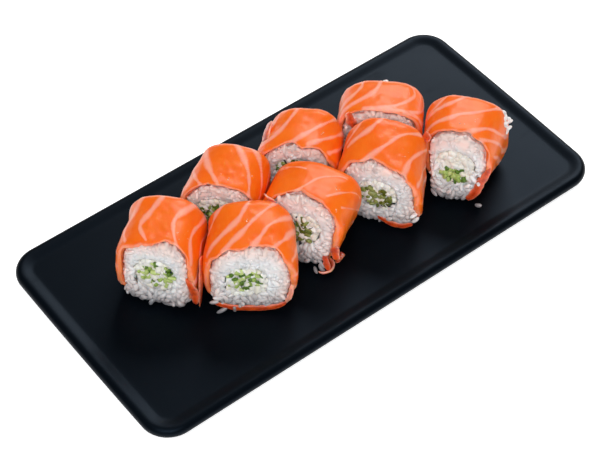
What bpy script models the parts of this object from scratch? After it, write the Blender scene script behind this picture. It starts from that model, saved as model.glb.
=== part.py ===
"""Maki rolls wrapped in salmon, in two rows on a black rectangular plate.

Lengths are in metres, written as millimetres times MM. The origin is at the centre of
the plate's foot, +X runs along the plate and +Z is up. Each roll lies on its side and
has a frame of its own: +X runs along the roll to its front cut, +Y across it, +Z up.
"""

import math

import bmesh
import bpy
import numpy as np

MM = 0.001
GAP = 0.35 * MM  # between pieces that touch
AROUND = 24  # points round a roll's section

# The plate: its outline, its edge and its foot
PLATE_LENGTH = 260.0 * MM
PLATE_WIDTH = 128.0 * MM
PLATE_CORNER = 14.3 * MM
PLATE_BOW = 0.5 * MM  # how far the short sides curve outwards
EDGE_RADIUS = 2.83 * MM  # the edge is a half round
EDGE_HEIGHT = 7.4 * MM  # the half round's centre
WELL_HEIGHT = 9.1 * MM
WELL_INSET = 8.0 * MM
LIP_INSET = 4.4 * MM
LIP_DROP = 0.45 * MM
UNDERSIDE_INSET = 14.0 * MM
UNDERSIDE_HEIGHT = 3.9 * MM
FOOT_INSET = 17.0 * MM
FOOT_BAND = 4.5 * MM
FOOT_ROUND = 0.5 * MM
FOOT_CORNER = 9.0 * MM
RECESS_HEIGHT = 2.2 * MM
RECESS_SLOPE = 2.5 * MM
CORNER_STEPS = 5
EDGE_STEPS = 6

# What every roll shares
BOTTOM_POWER = 3.6  # how square a section's lower half is
WRAP = {"side": 3.4 * MM, "top": 2.8 * MM, "bottom": 2.0 * MM}  # the salmon's thickness
CORE_WIDTH = 18.5 * MM
CORE_HEIGHT = 17.5 * MM
CORE_POWER = 2.3
CORE_ROUND = 0.7 * MM
FILLING_STEPS = 8
FILLING_SET_BACK = 0.6 * MM  # from both cuts
FRINGE_ROUND = 2.0 * MM  # how far the salmon's front edge is rounded, along the roll
FRINGE_DEPTH = 1.0 * MM  # and across it
FACE_ROUND = 2.2 * MM  # the rice's front corner
FACE_HOLLOW = 0.4 * MM  # how far the rice sinks towards the filling
BACK_HOLLOW = 0.9 * MM

ROLL = {
    "place": (0, 0),  # the middle of its footprint on the plate, in mm
    "heading": -140,  # where its front cut points, in degrees from the plate's +X
    "width": 40.0,
    "height": 39.0,
    "length": 30.0,
    "lean": 0.0,  # how far the front cut leans back, per mm of height
    "slant": 0.0,  # how far the front cut's +Y side runs ahead, per mm of width
    "back_width": 1.0,  # the back's width and height against the front's
    "back_height": 1.0,
    "power": 2.5,  # how square the section's upper half is
    "back_round": 6.5,
    "set_back": 3.0,  # how far the rice stands out of the salmon at the front
    "skew": 0.0,  # sideways shift of the top, per mm of height
    "fringe": (0.0, 0),  # how far the salmon's front edge runs ahead, in mm, and on which side
    "core": (0.0, 0.5),  # the filling's centre from the section's, in mm
    "cucumber": 250,  # the side of the filling that holds the cucumber, in degrees
    "share": 0.0,  # where cucumber and cheese meet, from the core's centre, -1 to 1
    "bumps": (),  # (bearing, along, spread in degrees, reach along, height in mm)
}

ROLLS = {
    1: {
        "place": (-73.0, 13.2),
        "heading": -138,
        "width": 38.5,
        "length": 34.5,
        "lean": -0.11,
        "slant": 0.10,
        "back_width": 0.95,
        "back_height": 0.97,
        "power": 2.6,
        "core": (-0.5, -1.5),
        "share": 0.35,
        "fringe": (1.4, 130),
        "bumps": (
            (168, -0.15, 22, 0.28, -2.2),
            (150, -0.8, 30, 0.35, 0.6),
            (-15, -0.4, 25, 0.5, -0.8),
        ),
    },
    2: {
        "place": (-44.8, -14.2),
        "heading": -125.6,
        "width": 42.0,
        "height": 39.4,
        "length": 32.0,
        "lean": -0.09,
        "slant": 0.04,
        "back_width": 1.03,
        "back_height": 1.04,
        "power": 2.45,
        "skew": 0.04,
        "core": (-1.5, -3.0),
        "share": 0.1,
        "bumps": (
            (0, 0.6, 35, 0.7, 0.8),
            (180, -0.5, 38, 0.6, -3.3),
            (-30, -1.0, 40, 0.35, -4.0),
        ),
    },
    3: {
        "place": (-31.0, 22.0),
        "heading": -144.5,
        "width": 37.0,
        "height": 38.7,
        "length": 30.5,
        "lean": -0.03,
        "slant": -0.09,
        "back_width": 0.97,
        "power": 2.6,
        "back_round": 5.6,
        "set_back": 2.5,
        "skew": 0.12,
        "bumps": ((170, -0.5, 30, 0.5, -1.6), (55, -0.8, 25, 0.4, 1.0)),
    },
    4: {
        "place": (-6.3, -10.1),
        "heading": -149.9,
        "width": 42.5,
        "height": 39.2,
        "length": 29.8,
        "lean": -0.14,
        "back_width": 1.04,
        "back_height": 0.96,
        "power": 2.45,
        "set_back": 4.2,
        "skew": 0.14,
        "core": (1.0, 0.0),
        "cucumber": 215,
        "share": -0.05,
        "fringe": (1.0, 15),
        "bumps": (
            (180, 0.6, 25, 0.4, -0.8),
            (205, 1.0, 30, 0.3, -1.6),
            (-30, 0.0, 28, 0.9, -1.2),
        ),
    },
    5: {
        "place": (12.2, 20.4),
        "heading": -140.5,
        "width": 39.8,
        "height": 38.1,
        "length": 29.2,
        "slant": -0.11,
        "back_width": 0.92,
        "power": 2.35,
        "back_round": 7.1,
        "set_back": 1.8,
        "skew": 0.10,
        "bumps": (
            (165, -0.6, 25, 0.4, -0.8),
            (150, 0.5, 25, 0.4, 0.6),
            (65, -0.8, 25, 0.4, 0.9),
        ),
    },
    6: {
        "place": (35.4, -13.9),
        "heading": -139.9,
        "width": 42.3,
        "height": 39.4,
        "length": 31.0,
        "slant": 0.07,
        "back_width": 0.96,
        "back_height": 1.08,
        "power": 2.5,
        "set_back": 2.0,
        "skew": -0.02,
        "core": (-1.0, -1.0),
        "cucumber": 235,
        "share": 0.0,
        "bumps": (
            (5, 0.0, 30, 0.6, -1.8),
            (225, 1.0, 20, 0.8, -2.0),
            (-5, -0.8, 30, 0.35, -2.6),
        ),
    },
    7: {
        "place": (56.8, 14.7),
        "heading": -134.2,
        "width": 42.0,
        "height": 37.2,
        "length": 27.3,
        "lean": 0.05,
        "back_width": 0.97,
        "back_height": 0.92,
        "power": 2.85,
        "back_round": 7.2,
        "skew": 0.03,
        "bumps": ((135, -0.8, 25, 0.5, -0.8),),
    },
    8: {
        "place": (76.4, -23.8),
        "heading": -141.5,
        "width": 35.0,
        "length": 34.5,
        "lean": -0.15,
        "slant": 0.04,
        "back_width": 1.2,
        "back_height": 0.97,
        "power": 2.55,
        "back_round": 6.2,
        "set_back": 2.8,
        "skew": -0.04,
        "core": (-1.0, 0.5),
        "cucumber": 225,
        "share": -0.3,
        "bumps": (
            (322, 0.9, 30, 0.9, -6.0),
            (222, 1.0, 24, 0.8, -3.0),
            (180, 0.75, 25, 0.35, -0.9),
            (135, -0.8, 25, 0.5, -0.4),
        ),
    },
}

# Strips of salmon that lie loose in front of roll 4
CURL_CENTRE = (-13.9 * MM, -30.6 * MM)
CURL_RADIUS = 4.2 * MM
CURL_HEIGHT = 3.6 * MM
CURL_THICKNESS = 1.7 * MM
CURL_START, CURL_END = 40, -165  # degrees, from its tucked end round to its tip
CURL_STEPS = 9
FLAP_CORNERS = ((-8.0, -31.6), (-2.8, -33.0), (-2.8, -29.0))  # on the plate, in mm
FLAP_LIFT = (0.0, 1.8, 4.5)  # how high each corner's underside is, in mm
FLAP_THICKNESS = 1.5 * MM

COLOURS = {
    "glaze": ((0.012, 0.016, 0.022), 0.35),
    "salmon": ((0.90, 0.21, 0.035), 0.35),
    "rice": ((0.80, 0.74, 0.72), 0.5),
    "cheese": ((0.86, 0.82, 0.72), 0.5),
    "cucumber": ((0.22, 0.32, 0.05), 0.4),
}


def clear_scene():
    for item in list(bpy.data.objects):
        bpy.data.objects.remove(item, do_unlink=True)


def make_material(name):
    colour, roughness = COLOURS[name]
    material = bpy.data.materials.new(name)
    material.use_nodes = True
    shader = material.node_tree.nodes["Principled BSDF"]
    shader.inputs["Base Color"].default_value = (*colour, 1.0)
    shader.inputs["Roughness"].default_value = roughness
    shader.inputs["Metallic"].default_value = 0.0
    return material


def skin(name, rings, material, closed=False, parent=None):
    """One object: a grid bent over the rings, each a run of points with the same count.

    Its two long seams are welded. The two ends are capped, or welded too when closed.
    """
    around = len(rings[0])
    spans = len(rings) if closed else len(rings) - 1
    bm = bmesh.new()
    bmesh.ops.create_grid(bm, x_segments=around, y_segments=spans, size=0.5)
    for vert in bm.verts:
        column = round((vert.co.x + 0.5) * around) % around
        row = round((vert.co.y + 0.5) * spans) % len(rings)
        vert.co = rings[row][column]
    bmesh.ops.remove_doubles(bm, verts=bm.verts, dist=0.001 * MM)
    ends = [edge for edge in bm.edges if edge.is_boundary]
    if ends:
        caps = bmesh.ops.holes_fill(bm, edges=ends)["faces"]
        bmesh.ops.triangulate(bm, faces=caps)
    bmesh.ops.recalc_face_normals(bm, faces=bm.faces)
    mesh = bpy.data.meshes.new(name)
    bm.to_mesh(mesh)
    bm.free()
    mesh.shade_smooth()
    mesh.set_sharp_from_angle(angle=math.radians(50))
    mesh.materials.append(material)
    item = bpy.data.objects.new(name, mesh)
    item.parent = parent
    bpy.context.collection.objects.link(item)
    return item


# The plate


def plate_loop(inset, height, corner=None):
    """A rounded rectangle inside the plate's outline, its short sides slightly bowed."""
    half_x = PLATE_LENGTH / 2 - inset
    half_y = PLATE_WIDTH / 2 - inset
    radius = corner or max(PLATE_CORNER - inset, 4 * MM)
    points = []
    for quarter in range(4):
        side_x = (1, -1, -1, 1)[quarter]
        side_y = (1, 1, -1, -1)[quarter]
        for step in range(CORNER_STEPS + 1):
            angle = math.radians(90 * (quarter + step / CORNER_STEPS))
            x = side_x * (half_x - radius) + radius * math.cos(angle)
            y = side_y * (half_y - radius) + radius * math.sin(angle)
            points.append((x, y))
        if quarter in (1, 3):
            points.append((side_x * half_x, 0.0))
    loop = []
    for x, y in points:
        bow = PLATE_BOW * (1 - (2 * y / PLATE_WIDTH) ** 2) * x / half_x
        loop.append((x + bow, y, height))
    return loop


def build_plate():
    top = EDGE_HEIGHT + EDGE_RADIUS
    loops = [
        plate_loop(WELL_INSET, WELL_HEIGHT),
        plate_loop((WELL_INSET + LIP_INSET) / 2, (WELL_HEIGHT + top - LIP_DROP) / 2),
        plate_loop(LIP_INSET, top - LIP_DROP),
    ]
    for step in range(EDGE_STEPS + 1):
        angle = math.radians(90 - 180 * step / EDGE_STEPS)
        inset = EDGE_RADIUS * (1 - math.cos(angle))
        loops.append(plate_loop(inset, EDGE_HEIGHT + EDGE_RADIUS * math.sin(angle)))
    foot_in = FOOT_INSET + FOOT_BAND
    loops += [
        plate_loop(UNDERSIDE_INSET, UNDERSIDE_HEIGHT, FOOT_CORNER),
        plate_loop(FOOT_INSET, FOOT_ROUND, FOOT_CORNER),
        plate_loop(FOOT_INSET + FOOT_ROUND, 0.0, FOOT_CORNER),
        plate_loop(foot_in, 0.0, FOOT_CORNER),
        plate_loop(foot_in + RECESS_SLOPE, RECESS_HEIGHT, FOOT_CORNER),
    ]
    skin("plate", loops, make_material("glaze"))


# The rolls


def even_section(width, height, upper, lower, count):
    """A squared ellipse: y = w/2 cos^(2/p), z = h/2 sin^(2/p), its points evenly spaced.

    It starts at the bottom and turns towards +Y. p is upper above the middle, lower below.
    """
    turn = np.linspace(-0.5 * math.pi, 1.5 * math.pi, 721)
    cosine = np.cos(turn)
    sine = np.sin(turn)
    power = 2 / np.where(sine >= 0, upper, lower)
    y = width / 2 * np.sign(cosine) * np.abs(cosine) ** power
    z = height / 2 * np.sign(sine) * np.abs(sine) ** power
    run = np.append(0, np.cumsum(np.hypot(np.diff(y), np.diff(z))))
    wanted = (np.arange(count) + 0.5) / count * run[-1]
    return np.interp(wanted, run, y), np.interp(wanted, run, z)


def share_ahead(roll, x):
    """0 at the roll's back, 1 at its front."""
    return x / (roll["length"] * MM) + 0.5


def in_cut(roll, x, y, z):
    """Points of a section at x, moved as the front cut leans and slants."""
    ahead = share_ahead(roll, x)
    middle = roll["height"] * MM / 2
    y = y + roll["skew"] * (z - middle)
    x = x + ahead * (roll["lean"] * (z - middle) + roll["slant"] * y)
    return [tuple(point) for point in np.stack([x, y, z], axis=-1)]


def outer_ring(roll, x, inset, layers=0.0, fringe=False):
    """The roll's section at x, inside its skin by inset and by so many wrap thicknesses.

    With fringe, one side of the ring runs ahead of the other.
    """
    half = roll["length"] * MM / 2
    ahead = share_ahead(roll, x)
    width = roll["width"] * MM * (roll["back_width"] * (1 - ahead) + ahead)
    height = roll["height"] * MM * (roll["back_height"] * (1 - ahead) + ahead)
    low = inset + layers * WRAP["bottom"]
    side = inset + layers * WRAP["side"]
    high = height - inset - layers * WRAP["top"]
    y, z = even_section(width - 2 * side, high - low, roll["power"], BOTTOM_POWER, AROUND)
    reach = np.hypot(y, z)
    bearing = np.degrees(np.arctan2(z, y))
    swell = np.zeros(AROUND)
    for centre, along, spread, span, amount in roll["bumps"]:
        off = (bearing - centre + 180) % 360 - 180
        fade = math.exp(-(((x / half - along) / span) ** 2))
        swell += amount * MM * fade * np.exp(-((off / spread) ** 2))
    y = y * (1 + swell / reach)
    z = z * (1 + swell / reach) + (low + high) / 2
    z = np.maximum(z, low)  # flat where the roll rests
    if fringe:
        amount, side = roll["fringe"]
        x = x + amount * MM * np.cos(np.radians(bearing - side))
    return in_cut(roll, x, y, z)


def back_ring(roll, angle, inset=0.0, layers=0.0):
    """A ring of the quarter round that ends the roll: 90 is where it starts, 0 the flat back."""
    radius = roll["back_round"] * MM
    x = radius * (1 - math.cos(math.radians(angle))) - roll["length"] * MM / 2
    return outer_ring(roll, x, inset + radius * (1 - math.sin(math.radians(angle))), layers)


def core_ring(roll, x, grow):
    """The outline of the filling's hole at x, larger by grow."""
    y, z = even_section(CORE_WIDTH + 2 * grow, CORE_HEIGHT + 2 * grow, CORE_POWER, CORE_POWER, AROUND)
    off_y, off_z = roll["core"]
    return in_cut(roll, x, y + off_y * MM, z + (roll["height"] / 2 + off_z) * MM)


def filling_ring(roll, x, inset, cucumber):
    """Half of the filling: the arc on one side of the seam, closed along the seam."""
    half_y = CORE_WIDTH / 2 - inset
    half_z = CORE_HEIGHT / 2 - inset
    side = 1 if cucumber else -1
    seam = side * roll["share"] * half_z - GAP / 2 - inset / 2
    reach = math.acos(-max(-0.9, min(0.9, seam / half_z)))
    turn = np.linspace(-reach, reach, FILLING_STEPS + 1)
    facing = math.radians(roll["cucumber"] + (0 if cucumber else 180))
    out = np.cos(turn)
    over = np.sin(turn)
    y = half_y * (out * math.cos(facing) - over * math.sin(facing))
    z = half_z * (out * math.sin(facing) + over * math.cos(facing))
    off_y, off_z = roll["core"]
    return in_cut(roll, x, y + off_y * MM, z + (roll["height"] / 2 + off_z) * MM)


def build_roll(number, materials):
    roll = {**ROLL, **ROLLS[number]}
    frame = bpy.data.objects.new(f"roll_{number}", None)
    frame.location = (roll["place"][0] * MM, roll["place"][1] * MM, WELL_HEIGHT + GAP)
    frame.rotation_euler = (0, 0, math.radians(roll["heading"]))
    bpy.context.collection.objects.link(frame)

    front = roll["length"] * MM / 2
    edge = front - roll["set_back"] * MM

    # The salmon: out along the skin from back to front, and home along the rice
    wrap = [
        back_ring(roll, 16),
        back_ring(roll, 46),
        back_ring(roll, 90),
        outer_ring(roll, 0.1 * front, 0.0),
        outer_ring(roll, edge - FRINGE_ROUND, 0.0),
        outer_ring(roll, edge, FRINGE_DEPTH, 0.1, fringe=True),
        outer_ring(roll, edge, FRINGE_DEPTH, 0.7, fringe=True),
        outer_ring(roll, edge - FRINGE_ROUND, 0.0, 1.0),
        back_ring(roll, 90, 0.0, 1.0),
        back_ring(roll, 57, 0.0, 1.0),
        back_ring(roll, 16, 0.0, 0.35),
    ]
    skin(f"salmon_{number}", wrap, materials["salmon"], closed=True, parent=frame)

    # The rice: a ring round the filling, which stands out of the salmon at the front
    ring = [
        core_ring(roll, front - FACE_HOLLOW, CORE_ROUND),
        outer_ring(roll, front, GAP + FACE_ROUND, 0.9),
        outer_ring(roll, edge + 0.4 * (front - edge), GAP + FACE_ROUND / 2, 0.9),
        outer_ring(roll, edge - FRINGE_ROUND, GAP, 1.0),
        back_ring(roll, 90, GAP, 1.0),
        back_ring(roll, 57, GAP, 1.0),
        back_ring(roll, 24, GAP, 0.8),
        core_ring(roll, BACK_HOLLOW - front, CORE_ROUND),
    ]
    skin(f"rice_{number}", ring, materials["rice"], closed=True, parent=frame)

    for kind in ("cheese", "cucumber"):
        far = front - FILLING_SET_BACK
        stick = [
            filling_ring(roll, -far, GAP + CORE_ROUND, kind == "cucumber"),
            filling_ring(roll, CORE_ROUND - far, GAP, kind == "cucumber"),
            filling_ring(roll, far - CORE_ROUND, GAP, kind == "cucumber"),
            filling_ring(roll, far, GAP + CORE_ROUND, kind == "cucumber"),
        ]
        skin(f"{kind}_{number}", stick, materials[kind], parent=frame)


# The loose strips


def build_curl(material):
    """A thin strip standing on its edge, bent round in a hook."""
    rings = []
    for step in range(CURL_STEPS + 1):
        share = step / CURL_STEPS
        angle = math.radians(CURL_START + (CURL_END - CURL_START) * share)
        height = CURL_HEIGHT * (1 - 0.25 * share)
        half = CURL_THICKNESS / 2 * (0.6 + 0.4 * math.sin(math.pi * share))
        ring = []
        for across, up in ((-1, 0), (1, 0), (1, 1), (-1, 1)):
            radius = CURL_RADIUS + across * half + 0.5 * half * up
            x = CURL_CENTRE[0] + radius * math.cos(angle)
            y = CURL_CENTRE[1] + radius * math.sin(angle)
            ring.append((x, y, WELL_HEIGHT + GAP + up * height))
        rings.append(ring)
    skin("salmon_curl", rings, material)


def build_flap(material):
    """A three-cornered scrap that leans on roll 4 and reaches the plate."""
    rings = []
    for level in (0, 1):
        ring = []
        for (x, y), lift in zip(FLAP_CORNERS, FLAP_LIFT):
            z = WELL_HEIGHT + GAP + lift * MM + level * FLAP_THICKNESS
            ring.append((x * MM, y * MM, z))
        rings.append(ring)
    skin("salmon_flap", rings, material)


def main():
    clear_scene()
    materials = {name: make_material(name) for name in COLOURS if name != "glaze"}
    build_plate()
    for number in ROLLS:
        build_roll(number, materials)
    build_curl(materials["salmon"])
    build_flap(materials["salmon"])


main()
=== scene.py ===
import bpy
import math
import numpy as np
from mathutils import Matrix, Vector


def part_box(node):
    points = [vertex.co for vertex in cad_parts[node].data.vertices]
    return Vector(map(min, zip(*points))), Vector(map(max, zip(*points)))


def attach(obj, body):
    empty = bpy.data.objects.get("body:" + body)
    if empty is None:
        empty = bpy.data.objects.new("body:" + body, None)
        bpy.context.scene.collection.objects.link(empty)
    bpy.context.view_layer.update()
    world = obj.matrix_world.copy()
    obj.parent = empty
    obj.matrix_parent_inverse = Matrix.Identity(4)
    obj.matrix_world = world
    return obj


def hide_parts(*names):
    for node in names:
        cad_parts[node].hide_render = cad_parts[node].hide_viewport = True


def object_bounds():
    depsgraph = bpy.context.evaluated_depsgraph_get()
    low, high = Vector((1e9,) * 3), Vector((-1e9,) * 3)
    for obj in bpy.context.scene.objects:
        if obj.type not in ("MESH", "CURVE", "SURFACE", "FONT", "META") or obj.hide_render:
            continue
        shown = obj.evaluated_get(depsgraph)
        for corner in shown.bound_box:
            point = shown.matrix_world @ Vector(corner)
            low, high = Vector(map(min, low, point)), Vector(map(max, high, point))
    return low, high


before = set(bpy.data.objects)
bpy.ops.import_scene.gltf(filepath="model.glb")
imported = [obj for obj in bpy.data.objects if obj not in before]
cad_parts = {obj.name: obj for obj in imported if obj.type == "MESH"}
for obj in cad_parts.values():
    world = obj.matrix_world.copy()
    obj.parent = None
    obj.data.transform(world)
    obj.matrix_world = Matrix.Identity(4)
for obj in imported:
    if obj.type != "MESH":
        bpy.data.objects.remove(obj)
cadLow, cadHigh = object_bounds()
mm = 0.001
plateLow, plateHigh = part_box("plate")
print("frame loaded:", len(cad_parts), "nodes")


# arrays into pieces

def gridFaces(rows, columns, closedRows=False, closedColumns=True):
    # quads of a rows x columns grid of points, wrapped round where closed
    r = np.arange(rows if closedRows else rows - 1)[:, None]
    c = np.arange(columns if closedColumns else columns - 1)[None, :]
    r2, c2 = (r + 1) % rows, (c + 1) % columns
    corners = [r * columns + c, r * columns + c2, r2 * columns + c2, r2 * columns + c]
    return np.stack([np.broadcast_to(k, (r.shape[0], c.shape[1])) for k in corners], -1).reshape(-1, 4)


def fanFaces(pole, first, columns, flip=False):
    # triangles from one pole to a closed ring of points
    c = np.arange(columns)
    ring = [first + c, first + (c + 1) % columns]
    if flip:
        ring.reverse()
    return np.stack([np.full(columns, pole), *ring], -1)


def addPiece(name, points, faces, material, values=None, replaces=()):
    # points in metres, faces a list of index arrays, values an array for each attribute
    mesh = bpy.data.meshes.new(name)
    points = np.asarray(points, np.float32).reshape(-1, 3)
    sizes = np.concatenate([np.full(len(f), f.shape[1]) for f in faces])
    corners = np.concatenate([f.ravel() for f in faces]).astype(np.int32)
    mesh.vertices.add(len(points))
    mesh.vertices.foreach_set("co", points.ravel())
    mesh.loops.add(len(corners))
    mesh.loops.foreach_set("vertex_index", corners)
    mesh.polygons.add(len(sizes))
    starts = np.concatenate([[0], np.cumsum(sizes)[:-1]]).astype(np.int32)
    mesh.polygons.foreach_set("loop_start", starts)
    mesh.update(calc_edges=True)
    mesh.shade_smooth()
    for key, value in (values or {}).items():
        value = np.asarray(value, np.float32)
        kind = "FLOAT_VECTOR" if value.ndim == 2 else "FLOAT"
        field = "vector" if value.ndim == 2 else "value"
        mesh.attributes.new(key, kind, "POINT").data.foreach_set(field, value.ravel())
    mesh.materials.append(material)
    piece = bpy.data.objects.new(name, mesh)
    bpy.context.scene.collection.objects.link(piece)
    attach(piece, "root")
    if replaces:
        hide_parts(*replaces)
    return piece


noiseTables = {}


def softNoise(points, size, seed):
    # value noise: random numbers on a lattice of cells, blended by a smooth step, -1 to 1
    if seed not in noiseTables:
        noiseTables[seed] = np.random.default_rng(seed).uniform(-1, 1, (32, 32, 32))
    table = noiseTables[seed]
    cell = np.asarray(points) / size
    base = np.floor(cell).astype(int)
    part = cell - base
    part = part * part * (3 - 2 * part)
    total = np.zeros(cell.shape[:-1])
    for corner in np.ndindex(2, 2, 2):
        step = np.array(corner)
        index = (base + step) % 32
        weight = np.prod(np.where(step == 1, part, 1 - part), axis=-1)
        total += weight * table[index[..., 0], index[..., 1], index[..., 2]]
    return total


def smoothStep(value, low, high):
    t = np.clip((value - low) / (high - low), 0, 1)
    return t * t * (3 - 2 * t)


# shader maths as plain expressions

class Wire:
    def __init__(self, paint, socket):
        self.paint, self.socket = paint, socket

    def maths(self, operation, *others):
        return self.paint.node("ShaderNodeMath", {"operation": operation}, dict(enumerate([self, *others])))

    def __add__(self, other):
        return self.maths("ADD", other)

    def __sub__(self, other):
        return self.maths("SUBTRACT", other)

    def __rsub__(self, other):
        return self.paint.node("ShaderNodeMath", {"operation": "SUBTRACT"}, {0: other, 1: self})

    def __mul__(self, other):
        return self.maths("MULTIPLY", other)

    __radd__ = __add__
    __rmul__ = __mul__

    def ramp(self, low, high):
        # 0 below low, 1 above high, smooth between them
        return self.paint.node("ShaderNodeMapRange", {"interpolation_type": "SMOOTHSTEP"},
                               {"Value": self, "From Min": low, "From Max": high})


class Paint:
    def __init__(self, name):
        self.material = bpy.data.materials.new(name)
        self.material.use_nodes = True
        self.nodes = self.material.node_tree.nodes
        self.links = self.material.node_tree.links
        self.shader = self.nodes["Principled BSDF"]

    def node(self, kind, settings=None, values=None, output=0):
        made = self.nodes.new(kind)
        for key, value in (settings or {}).items():
            setattr(made, key, value)
        self.feed(made, values)
        return Wire(self, made.outputs[output])

    def feed(self, made, values):
        for key, value in (values or {}).items():
            if isinstance(value, Wire):
                self.links.new(value.socket, made.inputs[key])
            elif isinstance(value, tuple) and len(value) == 3 and made.inputs[key].type == "RGBA":
                made.inputs[key].default_value = (*value, 1)
            else:
                made.inputs[key].default_value = value

    def mix(self, first, second, amount):
        return self.node("ShaderNodeMix", {"data_type": "RGBA", "clamp_factor": True},
                         {0: amount, 6: first, 7: second}, 2)

    def attribute(self, name, output="Fac"):
        return self.node("ShaderNodeAttribute", {"attribute_name": name}, {}, output)

    def noise(self, place, scale, detail=2.0, rough=0.5, twist=0.0):
        return self.node("ShaderNodeTexNoise", {}, {"Vector": place, "Scale": scale, "Detail": detail,
                                                    "Roughness": rough, "Distortion": twist})

    def stretch(self, place, scale, turn=(0.0, 0.0, 0.0)):
        return self.node("ShaderNodeMapping", {}, {"Vector": place, "Scale": scale, "Rotation": turn})

    def bump(self, height, distance, strength):
        return self.node("ShaderNodeBump", {}, {"Height": height, "Distance": distance, "Strength": strength})

    def finish(self, **values):
        self.feed(self.shader, {key.replace("_", " "): value for key, value in values.items()})
        return self.material


# the rolls: shape

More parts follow.
